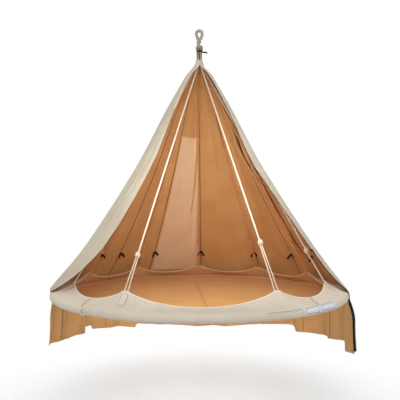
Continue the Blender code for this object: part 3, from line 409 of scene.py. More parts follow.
def grid_normals(grid, wrap=False):
    if wrap:
        across = np.roll(grid, -1, axis=0) - np.roll(grid, 1, axis=0)
    else:
        across = np.gradient(grid, axis=0)
    return unit(np.cross(across, np.gradient(grid, axis=1)))


def grid_lengths(grid):
    """A flat layout of the cloth, in metres, that keeps lengths about true."""
    down = np.linalg.norm(np.diff(grid, axis=1), axis=2)
    v = np.concatenate([np.zeros((len(grid), 1)), np.cumsum(down, axis=1)], axis=1)
    across = np.linalg.norm(np.diff(grid, axis=0), axis=2).mean(axis=1)
    u = np.concatenate([[0], np.cumsum(across)])
    return np.stack([np.broadcast_to(u[:, None], v.shape), v], axis=-1)


def beside(middle, across, offsets, lift=0.0):
    """A grid of lines at offsets across a middle line, given for each line or for each of its points."""
    return middle[None] + across[None] * np.reshape(offsets, (len(offsets), -1, 1)) + lift


def cloth_shell(name, grid, thickness, looks, wrap=False, facing=None, **more):
    """A closed sheet of cloth over a grid: its given face, and the outer face a thickness along the normal.

    The normal is turned to the side that facing points to, where that is given.
    """
    if facing is not None and (grid_normals(grid) * facing).sum() < 0:
        grid = grid[::-1]
    rows, columns = grid.shape[:2]
    outer = grid + grid_normals(grid, wrap) * np.broadcast_to(thickness, (rows, columns))[..., None]
    points = np.concatenate([outer.reshape(-1, 3), grid.reshape(-1, 3)])
    quads = grid_faces(rows, columns, wrap)
    below = rows * columns
    faces = [quads, quads[:, ::-1] + below]
    ring = np.arange(rows * columns).reshape(rows, columns)
    ends = [ring[::-1, 0], ring[:, -1]]
    if wrap:
        ends = [np.append(end, end[0]) for end in ends]
    else:
        ends += [ring[0, :], ring[-1, ::-1]]
    sides = [np.stack([end[1:], end[:-1], end[:-1] + below, end[1:] + below], axis=-1) for end in ends]
    faces = np.concatenate(faces + [side[:, ::-1] for side in sides])
    which = np.zeros(len(faces), int)
    if len(looks) > 1:
        which[len(quads):2 * len(quads)] = 1
    flat = grid_lengths(grid).reshape(-1, 2)
    return new_piece(name, points, faces, looks, uv=np.concatenate([flat, flat]), which=which, **more)


def line_frames(path):
    """Two directions across a path at each of its points, turned as little as can be."""
    along = unit(np.gradient(path, axis=0))
    first = np.cross(along[0], (0, 0, 1.0))
    if np.linalg.norm(first) < 0.1:
        first = np.cross(along[0], (1.0, 0, 0))
    side = [unit(first)]
    for direction in along[1:]:
        last = side[-1] - direction * np.dot(side[-1], direction)
        side.append(unit(last))
    side = np.array(side)
    return side, np.cross(along, side)


def tube_points(path, radius, sides, frames=None):
    side, up = frames or line_frames(path)
    turns = 2 * np.pi * np.arange(sides) / sides
    radius = np.broadcast_to(radius, len(path))[:, None, None]
    ring = side[:, None] * np.cos(turns)[None, :, None] + up[:, None] * np.sin(turns)[None, :, None]
    return path[:, None] + radius * ring


def tube_quads(rings, sides, wrap=False):
    """Quads between the rings of a tube, which may go once round and meet."""
    i, j = np.meshgrid(np.arange(rings if wrap else rings - 1), np.arange(sides), indexing="ij")
    near, far, after = i * sides, (i + 1) % rings * sides, (j + 1) % sides
    return np.stack([near + j, near + after, far + after, far + j], axis=-1).reshape(-1, 4)


def tube_faces(rings, sides, offset):
    """Faces of a tube with two ends."""
    start = list(range(offset + sides - 1, offset - 1, -1))
    end = list(range(offset + (rings - 1) * sides, offset + rings * sides))
    return (tube_quads(rings, sides) + offset).tolist() + [start, end]


def closed_loop(name, rings, looks, **more):
    """A tube whose rings of points go once round and meet."""
    count, sides = rings.shape[:2]
    round_it = np.linalg.norm(np.roll(rings, -1, axis=0) - rings, axis=2).mean(axis=1).cumsum()
    uv = np.stack(np.broadcast_arrays(round_it[:, None], np.arange(sides)[None] * 0.001), axis=-1)
    return new_piece(name, rings.reshape(-1, 3), tube_quads(count, sides, True), looks,
                     uv=uv.reshape(-1, 2), **more)


def round_directions(path):
    """Directions along a path that goes once round and meets."""
    return unit(np.roll(path, -1, axis=0) - np.roll(path, 1, axis=0))


def round_cord(name, path, side, radius, sides, look, slot):
    """A tube along a path that goes once round; the direction side lies across it."""
    side = np.broadcast_to(side, path.shape)
    rings = tube_points(path, radius, sides, (side, np.cross(round_directions(path), side)))
    closed_loop(name, rings, [look], slot=slot)


def on_grid(grid, rows, columns):
    """Points of a grid at places between its rows and columns."""
    rows, columns = np.broadcast_arrays(np.asarray(rows, float), np.asarray(columns, float))
    i = np.clip(np.floor(rows).astype(int), 0, grid.shape[0] - 2)
    j = np.clip(np.floor(columns).astype(int), 0, grid.shape[1] - 2)
    s, t = (rows - i)[..., None], (columns - j)[..., None]
    low = grid[i, j] * (1 - s) + grid[i + 1, j] * s
    high = grid[i, j + 1] * (1 - s) + grid[i + 1, j + 1] * s
    return low * (1 - t) + high * t


def laid_rope(name, path, radius, pitch, look, strands=3, sides=7, **more):
    """Strands twisted about a path; the path is evenly spaced."""
    side, up = line_frames(path)
    step = np.linalg.norm(path[1] - path[0])
    turn = 2 * np.pi * np.arange(len(path)) * step / pitch
    strand_radius = radius / (1 + 1 / np.sin(np.pi / strands))
    points, faces, uv = [], [], []
    for strand in range(strands):
        phase = turn + 2 * np.pi * strand / strands
        offset = side * np.cos(phase)[:, None] + up * np.sin(phase)[:, None]
        middle = path + offset * (radius - strand_radius)
        rings = tube_points(middle, strand_radius * 1.06, sides)
        faces += tube_faces(len(path), sides, strand * sides * len(path))
        points.append(rings.reshape(-1, 3))
        u = np.broadcast_to(np.arange(len(path))[:, None] * step, (len(path), sides))
        v = np.broadcast_to(np.arange(sides)[None] / sides, (len(path), sides))
        uv.append(np.stack([u, v], axis=-1).reshape(-1, 2))
    return new_piece(name, np.concatenate(points), faces, [look], uv=np.concatenate(uv), **more)


def stitch_line(points, normals, pitch=STITCH_PITCH, length=STITCH_LENGTH, width=STITCH_WIDTH,
                height=STITCH_HEIGHT):
    """Stitches along a line, each a small six-sided loaf standing on the cloth."""
    moved = np.append(True, np.linalg.norm(np.diff(points, axis=0), axis=1) > 1e-7)
    points, normals = points[moved], normals[moved]
    keys = line_keys(points)
    at = np.arange(pitch / 2, keys[-1] - pitch / 2, pitch)

    def along(values):
        return np.stack([np.interp(at, keys, values[:, k]) for k in range(3)], axis=-1)

    middle, up = along(points), unit(along(normals))
    ahead = unit(along(np.gradient(points, keys, axis=0)))
    side = np.cross(up, ahead)
    corners = []
    for x, y, z in ((-1, 0, 0), (-0.6, 1, 0), (0.6, 1, 0), (1, 0, 0), (0.6, -1, 0), (-0.6, -1, 0),
                    (-0.6, 0, 1), (0.6, 0, 1)):
        corners.append(middle + ahead * x * length / 2 + side * y * width / 2 + up * z * height)
    corners = np.stack(corners, axis=1)
    loaf = [(5, 4, 3, 2, 1, 0), (0, 1, 6), (1, 2, 7, 6), (2, 3, 7), (3, 4, 7), (4, 5, 6, 7), (5, 0, 6)]
    return corners.reshape(-1, 3), [[k * 8 + c for c in face] for k in range(len(at)) for face in loaf]


def stitches(name, lines, look, slot, **sizes):
    """One piece that holds every stitch of several lines."""
    points, faces, count = [], [], 0
    for line, normals in lines:
        more, quads = stitch_line(np.asarray(line), np.asarray(normals), **sizes)
        faces += [[c + count for c in quad] for quad in quads]
        points.append(more)
        count += len(more)
    return new_piece(name, np.concatenate(points), faces, [look], slot=slot)


# Materials

def screen_colour(values):
    """The linear colour of three 0 to 255 values of a screen."""
    shares = np.array(values) / 255
    linear = np.where(shares <= 0.04045, shares / 12.92, ((shares + 0.055) / 1.055) ** 2.4)
    return (*linear.tolist(), 1.0)


class Tree:
    """The nodes of a material or world, made and joined in short lines."""

    def __init__(self, owner):
        owner.use_nodes = True
        self.tree = owner.node_tree

    def set(self, socket, value):
        """Joins a socket to an output, or gives it a value. Three values are a screen colour."""
        if hasattr(value, "is_output"):
            self.tree.links.new(value, socket)
        elif socket.type == "RGBA" and len(value) == 3:
            socket.default_value = screen_colour(value)
        else:
            socket.default_value = value

    def add(self, kind, output=0, settings=None, **inputs):
        """A new node's output. Inputs are named, with _ for a space, or i0, i1 and so on."""
        node = self.tree.nodes.new("ShaderNode" + kind)
        for key, value in (settings or {}).items():
            setattr(node, key, value)
        for key, value in inputs.items():
            self.set(node.inputs[int(key[1:]) if key[1:].isdigit() else key.replace("_", " ")], value)
        return node.outputs[output]

    def math(self, operation, first, second, third=0.0):
        return self.add("Math", settings={"operation": operation}, i0=first, i1=second, i2=third)

    def background_share(self):
        """1 for rays from the camera and for what metal and glass show, and 0 for light on the object."""
        rays = self.tree.nodes.new("ShaderNodeLightPath").outputs
        share = self.math("MAXIMUM", rays["Is Camera Ray"], rays["Is Glossy Ray"])
        return self.math("MAXIMUM", share, rays["Is Transmission Ray"])


class Look(Tree):
    """The nodes of a new material. Its functions return an output that others take as an input."""

    def __init__(self, name, roughness, metallic=0.0, sheen=0.0):
        self.material = bpy.data.materials.new(name)
        super().__init__(self.material)
        self.shader = self.tree.nodes["Principled BSDF"]
        values = {"Roughness": roughness, "Metallic": metallic, "Sheen Weight": sheen, "Sheen Roughness": 0.6,
                  "Specular IOR Level": 0.5 if metallic else 0.2}
        for socket, value in values.items():
            self.shader.inputs[socket].default_value = value
        self.coordinates = self.tree.nodes.new("ShaderNodeTexCoord")

    def noise(self, scale, detail=3.0, source="Object", stretch=None):
        place = self.coordinates.outputs[source]
        if stretch:
            place = self.add("Mapping", Vector=place, Scale=stretch)
        return self.add("TexNoise", Vector=place, Scale=scale, Detail=detail)

    def wave(self, direction, scale, distortion=0.0, source="UV"):
        return self.add("TexWave", 1, {"bands_direction": direction}, Vector=self.coordinates.outputs[source],
                        Scale=scale, Distortion=distortion)

    def ramp(self, value, low, high):
        return self.add("MapRange", Value=value, From_Min=low, From_Max=high)

    def mix(self, share, first, second):
        node = self.tree.nodes.new("ShaderNodeMix")
        node.data_type = "RGBA"
        for socket, value in ((0, share), (6, first), (7, second)):
            self.set(node.inputs[socket], value)
        return node.outputs[2]

    def finish(self, colour, height, distance, strength, roughness=None, wrinkles=None):
        self.set(self.shader.inputs["Base Color"], colour)
        relief = self.add("Bump", Height=height, Strength=strength, Distance=distance)
        if wrinkles:
            source, stretch, depth = wrinkles
            folds = self.noise(1.0, 2.0, source, stretch)
            large = self.add("Bump", Height=folds, Strength=1.0, Distance=depth)
            self.set(relief.node.inputs["Normal"], large)
        self.set(self.shader.inputs["Normal"], relief)
        if roughness is not None:
            self.set(self.shader.inputs["Roughness"], roughness)
        return self.material


def canvas(name, colour, deeper, pitch=0.0011, sheen=0.12, cloudy=0.55, wrinkles=None):
    """Plain-woven cotton: crossed yarns, slubs that run along them, and soft clouding of the colour."""
    made = Look(name, 0.92, sheen=sheen)
    warp, weft = (made.wave(direction, 0.314 / pitch, 0.4) for direction in "XY")
    weave = made.math("MULTIPLY_ADD", warp, weft, 0.0)
    slubs = made.noise(1.0, 2.0, "UV", (900, 60, 1))
    clouds = made.ramp(made.noise(5.0, 4.0), 0.35, 0.7)
    share = made.math("MULTIPLY", clouds, cloudy)
    share = made.math("MULTIPLY_ADD", made.ramp(slubs, 0.55, 0.8), 0.25, share)
    share = made.math("MULTIPLY_ADD", weave, -0.12, share)
    tone = made.mix(share, colour, deeper)
    height = made.math("MULTIPLY_ADD", slubs, 0.5, weave)
    return made.finish(tone, height, 0.0004, 0.5, wrinkles=wrinkles)


def seam_canvas_with_painted_shade(name, colour, deeper, crease):
    """Canvas of a felled seam, with painted shade in the crease along its first side."""
    made = Look(name, 0.92, sheen=0.1)
    place = made.add("SeparateXYZ", Vector=made.coordinates.outputs["UV"])
    weave = made.math("MULTIPLY", made.wave("X", 285), made.wave("Y", 285))
    share = made.math("MULTIPLY_ADD", weave, 0.3, made.ramp(made.noise(40.0), 0.3, 0.8))
    tone = made.mix(share, colour, deeper)
    # Painted shade: the crease colour along the strip's first side
    inside = made.ramp(place, 0.0062, 0.0040)
    return made.finish(made.mix(inside, tone, crease), weave, 0.0004, 0.5)


def twine(name, colour, crease, pitch, weathered=None):
    """Yarn of thread or laid rope, with fine fibres and darker hairs, and weathered at the top if asked."""
    made = Look(name, 0.85, sheen=0.15)
    fibres = made.add("TexWave", 1, {"bands_direction": "DIAGONAL"}, Vector=made.coordinates.outputs["UV"],
                      Scale=0.314 / pitch, Distortion=1.5)
    hairs = made.noise(700.0, 3.0)
    share = made.math("MULTIPLY_ADD", made.ramp(hairs, 0.4, 0.75), 0.5, made.math("MULTIPLY", fibres, 0.25))
    tone = made.mix(share, colour, crease)
    if weathered:
        height = made.add("SeparateXYZ", 2, None, Vector=made.coordinates.outputs["Object"])
        tone = made.mix(made.ramp(height, -0.25, -0.17), tone, weathered)
    return made.finish(tone, made.math("ADD", fibres, hairs), 0.0006, 0.6)


def webbing(name, colour, lighter):
    """Ribbed black tape."""
    made = Look(name, 0.9, sheen=0.03)
    ribs = made.math("MULTIPLY", made.wave("X", 0.314 / 0.0014), made.wave("Y", 0.314 / 0.0009))
    dust = made.ramp(made.noise(60.0), 0.45, 0.8)
    share = made.math("MULTIPLY_ADD", ribs, 0.5, made.math("MULTIPLY", dust, 0.35))
    return made.finish(made.mix(share, colour, lighter), ribs, 0.0004, 0.7)


def metal(name, colour, worn, roughness, metallic, scale):
    """Drawn or coated metal: fine scratches and a patchy roughness."""
    made = Look(name, roughness, metallic)
    scratches = made.noise(scale, 2.0, "Object", (1, 1, 14))
    patches = made.ramp(made.noise(35.0), 0.35, 0.75)
    rough = made.math("MULTIPLY_ADD", patches, 0.18, roughness - 0.06)
    tone = made.mix(made.math("MULTIPLY", made.ramp(scratches, 0.5, 0.75), 0.6), colour, worn)
    return made.finish(tone, scratches, 0.0002, 0.25, rough)


# Wrinkles of hanging and of gathered cloth: coordinates, how close they lie each way, and their depth
DRAPES = ("Object", (12, 12, 1.8), 0.012)
PUCKERS = ("UV", (34, 6, 1), 0.012)

cream_canvas = canvas("cream_canvas", (209, 195, 172), (190, 173, 146), wrinkles=DRAPES)
tan_canvas = canvas("tan_canvas", (216, 167, 108), (196, 141, 83), wrinkles=DRAPES)
rim_canvas = canvas("rim_canvas", (225, 213, 194), (209, 194, 171), 0.0013, wrinkles=PUCKERS)
lining_canvas = canvas("lining_canvas", (232, 186, 134), (220, 170, 114))
base_canvas = canvas("base_canvas", (214, 202, 182), (198, 182, 156), 0.0013)
pad_cloth = canvas("pad_cloth", (216, 162, 88), (200, 144, 72), 0.0009)
# The window's pale colour is painted light: light shining through its single layer
window_cloth_painted_light = canvas("window_cloth_painted_light", (238, 206, 168), (227, 190, 150), 0.0008)
facing_cloth = canvas("facing_cloth", (216, 197, 174), (200, 178, 150))
binding_cloth = canvas("binding_cloth", (244, 234, 216), (232, 218, 194), 0.0008)
lining_binding_cloth = canvas("lining_binding_cloth", (250, 210, 150), (238, 190, 128), 0.0008)
seam_rim_cloth = canvas("seam_rim_cloth", (196, 190, 180), (178, 170, 158), 0.0009)
tag_cloth = canvas("tag_cloth", (226, 218, 204), (212, 202, 184), 0.0007)
patch_cloth = canvas("patch_cloth", (232, 233, 238), (216, 218, 224), 0.0007)
# A dark cloth that lies in the open side of each gather: painted shade
painted_fold_shade = canvas("painted_fold_shade", (104, 62, 32), (84, 48, 24))
# The last colour of each seam is painted shade in its crease
tan_seam = seam_canvas_with_painted_shade("tan_seam", (222, 174, 120), (206, 152, 96), (118, 72, 36))
soft_seam = seam_canvas_with_painted_shade("soft_seam", (222, 174, 120), (206, 152, 96), (186, 134, 82))
cream_seam = seam_canvas_with_painted_shade("cream_seam", (230, 220, 202), (216, 202, 180), (168, 154, 132))
tan_thread = twine("tan_thread", (150, 96, 50), (120, 74, 36), 0.0006)
cream_thread = twine("cream_thread", (238, 228, 210), (210, 196, 172), 0.0006)
grey_thread = twine("grey_thread", (122, 120, 120), (92, 90, 90), 0.0006)
rope_yarn = twine("rope_yarn", (242, 229, 208), (214, 190, 156), 0.0016, (168, 149, 127))
# The rope yarn again, darker and warmer: painted shade for the back ropes inside the cover
rope_yarn_painted_shade = twine("rope_yarn_painted_shade", (228, 170, 118), (204, 138, 84), 0.0016, (150, 134, 116))
weathered_yarn = twine("weathered_yarn", (198, 190, 176), (158, 149, 133), 0.0020)
black_webbing = webbing("black_webbing", (24, 20, 18), (46, 38, 33))
zip_tape = webbing("zip_tape", (24, 22, 21), (44, 40, 37))
zip_teeth = metal("zip_teeth", (26, 25, 25), (70, 68, 66), 0.4, 0.0, 500.0)
hoop_metal = metal("hoop_metal", (198, 200, 202), (168, 170, 172), 0.34, 1.0, 60.0)
button_metal = metal("button_metal", (182, 182, 182), (150, 150, 148), 0.3, 1.0, 200.0)
zip_metal = metal("zip_metal", (44, 40, 38), (72, 67, 63), 0.42, 0.6, 400.0)


# Ropes

def rope_radius_at(height):
    slope = PEAK_RADIUS / (ROPE_MEET - PEAK_HEIGHT)
    reach = slope * (ROPE_MEET - height) - BUNDLE_RADIUS
    return BUNDLE_RADIUS + (reach + np.sqrt(reach * reach + BUNDLE_EASE ** 2)) / 2


def rope_azimuth(number):
    return FIRST_ROPE + ROPE_STEP * (number if number <= ROPE_COUNT // 2 else number - ROPE_COUNT)


def turned_to(azimuth, points):
    """Points given with +Y outwards, turned to an azimuth."""
    points = np.asarray(points, float)
    turn = np.radians(azimuth)
    x = points[..., 0] * np.cos(turn) + points[..., 1] * np.sin(turn)
    y = points[..., 1] * np.cos(turn) - points[..., 0] * np.sin(turn)
    return np.stack([x, y, points[..., 2]], axis=-1)


def knot_path(height):
    """Three wraps of the rope round its own end, then a tuck into the middle."""
    slope = PEAK_RADIUS / (ROPE_MEET - PEAK_HEIGHT)
    down = unit(np.array([0, slope, -1.0]))
    side, up = np.array([1.0, 0, 0]), np.cross([1.0, 0, 0], down)
    turns = np.linspace(0, 2 * np.pi * KNOT_TURNS, 73)
    tuck = 1 - 0.55 * smooth_step(17.6, 18.85, turns)
    reach = KNOT_REACH * smooth_step(-0.6, 0.9, turns) * tuck
    along = (turns / turns[-1] - 0.5) * KNOT_LENGTH
    middle = np.array([0, rope_radius_at(height), height])
    return (middle + down * along[:, None] + side * (reach * np.cos(turns))[:, None]
            + up * (reach * np.sin(turns))[:, None])


def leg_path(knot_height):
    """Both legs as one cord: from the knot to the tray's peak, round the hoop's tube and back up."""
    knot = np.array([0, rope_radius_at(knot_height), knot_height])
    peak = np.array([0, PEAK_RADIUS, PEAK_HEIGHT])
    loop_radius = TUBE_RADIUS + LEG_RADIUS + LEG_GAP
    away = PEAK_RADIUS - HOOP_RADIUS
    rise = np.arctan2(PEAK_HEIGHT, away)
    touch = np.arccos(loop_radius / np.hypot(PEAK_HEIGHT, away))
    turns = np.linspace(rise - touch, rise + touch - 2 * np.pi, 15)
    spread = np.linspace(LEG_SPREAD, -LEG_SPREAD, len(turns))
    loop = np.stack([spread, HOOP_RADIUS + loop_radius * np.cos(turns), loop_radius * np.sin(turns)], axis=-1)
    aside, start = np.array([LEG_SPREAD, 0, 0]), np.array(LEG_START)
    down = [knot + start + (peak + aside - knot - start) * share for share in (0, 0.25, 0.5, 0.75, 1)]
    back = [point * (-1, 1, 1) for point in down[::-1]]
    return [*down, *loop, *back]


def make_ropes():
    """Each rope from the bundle to its knot, the knot, and the two legs round the hoop."""
    for number, knot_height in enumerate(KNOT_HEIGHTS):
        name, azimuth = f"rope_{number + 1}", rope_azimuth(number)
        # The four front ropes take the plain yarn and the others the yarn with painted shade
        yarn = rope_yarn if 3 <= number <= 6 else rope_yarn_painted_shade
        heights = (BUNDLE_TOP, *ROPE_HEIGHTS, knot_height)
        line = [(0, float(rope_radius_at(height)), height) for height in heights]
        line = turned_to(azimuth, resampled(line, LINE_STEP))
        main = laid_rope(name + "_line", line, ROPE_RADIUS, LINE_LAY, yarn, nodes=[name], slot="cotton_rope")
        wraps = turned_to(azimuth, resampled(knot_path(knot_height), KNOT_STEP))
        laid_rope(name + "_knot", wraps, KNOT_ROPE_RADIUS, KNOT_LAY, yarn, slot="cotton_rope")
        legs = turned_to(azimuth, resampled(leg_path(knot_height), LEG_STEP))
        piece = laid_rope(name + "_legs", legs, LEG_RADIUS, LEG_LAY, yarn, sides=6, slot="cotton_rope")


# Crown

def make_crown():
    """The whipping round the ropes, the eye with its legs in the bundle, and the strap with its end."""
    radius = rope_radius_at(WHIPPING_BOTTOM) + ROPE_RADIUS + WHIPPING_CORD_RADIUS + WHIPPING_GAP
    turns = np.linspace(0, 2 * np.pi * WHIPPING_TURNS, 240)
    rise = WHIPPING_BOTTOM + WHIPPING_CORD_RADIUS + WHIPPING_PITCH * turns / (2 * np.pi)
    coil = np.stack([radius * np.cos(turns), radius * np.sin(turns), rise], axis=-1)
    path = resampled(coil, WHIPPING_STEP)
    whipping = laid_rope("whipping_cord", path, WHIPPING_CORD_RADIUS, WHIPPING_LAY, weathered_yarn, sides=6,
                         nodes=["crown_whipping"], slot="weathered_rope")

    bearing = HANG_HEIGHT + EYE_ROPE_RADIUS
    middle, crossing = bearing - EYE_HALF_WIDTH, bearing - EYE_CROSSING
    thick = EYE_ROPE_RADIUS * EYE_FULLNESS
    neck = thick + EYE_GAP

    def leg(heights, sign, gather):
        share = smooth_step(crossing, middle, heights)
        spacing = neck + (EYE_HALF_WIDTH - neck) * share
        turn = np.pi * smooth_step(BUNDLE_TOP + 0.014, crossing + 0.014, heights)
        if gather:
            spacing = spacing * smooth_step(BUNDLE_TOP + 0.002, BUNDLE_TOP + 0.030, heights)
        return np.stack([sign * spacing * np.cos(turn), sign * spacing * np.sin(turn), heights], axis=-1)

    core = np.array([(0, 0, EYE_CORE_BOTTOM), (0, 0, BUNDLE_TOP + 0.002)])
    over = np.linspace(0, np.pi, 13)[1:-1]
    x, z = EYE_HALF_WIDTH * np.cos(over), middle + EYE_HALF_WIDTH * np.sin(over)
    over = np.stack([x, 0 * over, z], axis=-1)
    route = [core, leg(np.linspace(BUNDLE_TOP + 0.010, middle, 13), -1, True), over,
             leg(np.linspace(middle, BUNDLE_TOP + 0.034, 10), 1, False)]
    path = resampled(np.concatenate(route), EYE_STEP)
    eye = laid_rope("eye_rope", path, thick, EYE_LAY, weathered_yarn, sides=12,
                    nodes=["hanging_eye"], slot="weathered_rope")

    around = np.linspace(0, 2 * np.pi, 49)
    inner = float(rope_radius_at(STRAP_HEIGHT - STRAP_WIDTH)) + ROPE_RADIUS + STRAP_GAP
    band = np.stack([inner * np.cos(around), inner * np.sin(around), 0 * around + STRAP_HEIGHT], axis=-1)
    reach = np.linspace(0.003, STRAP_TAIL, 14)
    tail = np.stack([inner + reach, np.full(14, 0.0006), STRAP_HEIGHT - 3 * reach ** 2], axis=-1)
    path = np.concatenate([band, tail])
    gauge = np.full(len(path), STRAP_THICKNESS)
    gauge[-STRAP_END_POINTS:] = STRAP_END_THICKNESS
    grid = beside(path, np.array([(0, 0, 1.0)]), TAPE_LINES * (STRAP_WIDTH * STRAP_NARROWING))
    cloth_shell("strap", grid, gauge, [black_webbing], nodes=["crown_strap"], slot="black_webbing")


make_ropes()
make_crown()


# Canvas tray

def scallop(number):
    if number == ROPE_COUNT // 2:
        return 360 - ROPE_STEP * (ROPE_COUNT - 1), FRONT_VALLEY_HEIGHT
    return ROPE_STEP, VALLEY_HEIGHT


def scallop_edge(share, span, valley):
    """(radius, height) of the scalloped edge, the width between its two layers, and metres from a rope."""
    length = np.radians(span) * HOOP_RADIUS
    aside = length * np.minimum(share, 1 - share)
    weight = np.clip((length - 2 * aside) / (length - 2 * SLIT_HALF_LENGTH), 0, 1) ** SCALLOP_POWER
    radius = VALLEY_RADIUS + (PEAK_RADIUS - VALLEY_RADIUS) * weight
    height = valley + (PEAK_HEIGHT - valley) * weight
    shut = smooth_step(SLIT_HALF_LENGTH, SLIT_END, aside)
    between = EDGE_GAP + (SLIT_WIDTH - EDGE_GAP) * (1 - shut)
    return radius, height, between, aside


def scallop_columns(number):
    """Shares along a scallop up to the next rope, closer together beside the ropes, and their azimuths."""
    span, valley = scallop(number)
    count = int(np.radians(span) * HOOP_RADIUS / SCALLOP_STEP)
    even = np.linspace(0, 1, count + 1)[:-1]
    shares = even - 0.045 * np.sin(2 * np.pi * even)
    return shares, rope_azimuth(number) + span * shares, span, valley


def rim_section(share, span, valley):
    """(radius, height) from under the tube, round it and up to the edge, and metres from a rope."""
    radius, height, between, aside = scallop_edge(share, span, valley)
    edge = np.stack([radius - HOOP_RADIUS, height], axis=-1)
    rise = np.arctan2(edge[:, 1], edge[:, 0])
    edge += np.stack([np.sin(rise), -np.cos(rise)], axis=-1) * between[:, None] / 2
    wrap = SLEEVE_RADIUS + 0.0004
    leave = np.arctan2(edge[:, 1], edge[:, 0]) - np.arccos(wrap / np.hypot(edge[:, 0], edge[:, 1]))
    turns = -np.pi / 2 + (leave + np.pi / 2)[:, None] * np.linspace(0, 1, ARC_POINTS)
    arc = wrap * np.stack([np.cos(turns), np.sin(turns)], axis=-1)
    up = np.linspace(0, 1, 17)[None, 1:, None]
    flange = arc[:, -1:] + (edge[:, None] - arc[:, -1:]) * up
    section = np.concatenate([arc, flange], axis=1) + (HOOP_RADIUS, 0)
    return section, aside


def make_rim():
    """The sleeve round the hoop. Returns the azimuths of its rows and the grid of its outer face."""
    grids, turns = [], []
    for number in range(ROPE_COUNT):
        shares, azimuths, span, valley = scallop_columns(number)
        section, aside = rim_section(shares, span, valley)
        up = np.linspace(0, 1, section.shape[1])[None]
        away = azimuths[:, None]
        puckers = np.exp(-(aside[:, None] / 0.16) ** 2) * np.sin(away * 2.6 + 5 * up) * RIM_PUCKERS
        large = soft_noise(away * 0.75, up * 2.0, 11) * RIM_CREASES[0]
        small = soft_noise(away * 2.1, up * 3.0, 12) * RIM_CREASES[1]
        lift = (0.0004 + puckers + (large + small)) * np.sin(np.pi * up) ** 0.5 + 0.0005
        slack = np.sin(np.pi * np.clip((up - 0.5) * 2, 0, 1)) * RIM_SLACK
        slack = slack * np.clip(aside / 0.15, 0, 1)[:, None]
        out = unit(section - (HOOP_RADIUS, 0))
        out[:, ARC_POINTS:] = out[:, ARC_POINTS - 1:ARC_POINTS]
        section = section + out * (lift - slack * (section[..., 1] > 0.01))[..., None]
        grids.append(polar(away, section[..., 0], section[..., 1]))
        turns.append(azimuths)
    grid = np.concatenate(grids)
    rim = cloth_shell("rim_sleeve", grid[:, ::-1], STOUT_CANVAS, [rim_canvas], wrap=True,
                      nodes=[f"rim_panel_{n + 1}" for n in range(ROPE_COUNT)], slot="rim_canvas")
    turns = np.concatenate(turns)
    return turns[0] + (turns - turns[0]) % 360, grid - grid_normals(grid, True) * STOUT_CANVAS


def make_lining():
    """The wall inside the tray, from under the tube up to the scalloped edge. Returns its grid."""
    grids = []
    for number in range(ROPE_COUNT):
        shares, azimuths, span, valley = scallop_columns(number)
        radius, height, between, _ = scallop_edge(shares, span, valley)
        rise = np.arctan2(height - WALL_BEND, radius - WALL_RADIUS)
        lean = np.stack([np.sin(rise), -np.cos(rise)], axis=-1)
        edge = np.stack([radius, height], axis=-1) - lean * (between / 2 + 0.0012)[:, None]
        foot = np.array([WALL_RADIUS - STOUT_CANVAS, -SLEEVE_RADIUS + 0.0004])
        bend = np.array([WALL_RADIUS - STOUT_CANVAS, WALL_BEND])
        low = foot + (bend - foot) * np.linspace(0, 1, 4)[None, :, None]
        low = np.broadcast_to(low, (len(shares), 4, 2))
        up = np.linspace(0, 1, 15)[None, 1:]
        high = bend + (edge[:, None] - bend) * up[..., None]
        creases = soft_noise(azimuths[:, None] * 0.7, up * 2.5, 21) * LINING_CREASES
        high = high - lean[:, None] * ((creases + 0.0012) * np.sin(np.pi * up))[..., None]
        section = np.concatenate([low, high], axis=1)
        grids.append(polar(azimuths[:, None], section[..., 0], section[..., 1]))
    grid = np.concatenate(grids)
    lining = cloth_shell("tray_lining", grid, -CANVAS, [lining_canvas], wrap=True, nodes=["inner_wall"],
                         slot="lining_canvas")
    return grid


def make_base():
    """The canvas under the pads, which sags between its edge and its middle."""
    azimuths = np.linspace(0, 360, 217)[:-1]
    outer = np.linspace(BASE_FLAT_RADIUS, BASE_RADIUS, 6)[1:]
    radii = np.concatenate([np.linspace(0.01, BASE_FLAT_RADIUS, 26), outer])
    flat, rim = PAD_BOTTOM - 0.0006, -SLEEVE_RADIUS - 0.0003
    share = np.clip((radii - BASE_FLAT_RADIUS) / (BASE_RADIUS - BASE_FLAT_RADIUS), 0, 1)
    height = flat + (rim - flat) * share
    away, out = np.meshgrid(azimuths, radii, indexing="ij")
    puckers = soft_noise(away * 0.28, out * 4, 31) * BASE_PUCKERS * smooth_step(0.3, 0.75, out)
    puckers = (puckers + 0.002) * (1 - smooth_step(0.80, BASE_RADIUS, out))
    sag = BASE_SAG * (1 - (out / BASE_RADIUS) ** 2)
    grid = polar(away, out, height[None] - puckers - sag)
    base = cloth_shell("base_canvas_cloth", grid, STOUT_CANVAS, [base_canvas], wrap=True,
                       nodes=["base_canvas"], slot="lining_canvas")


# Pads

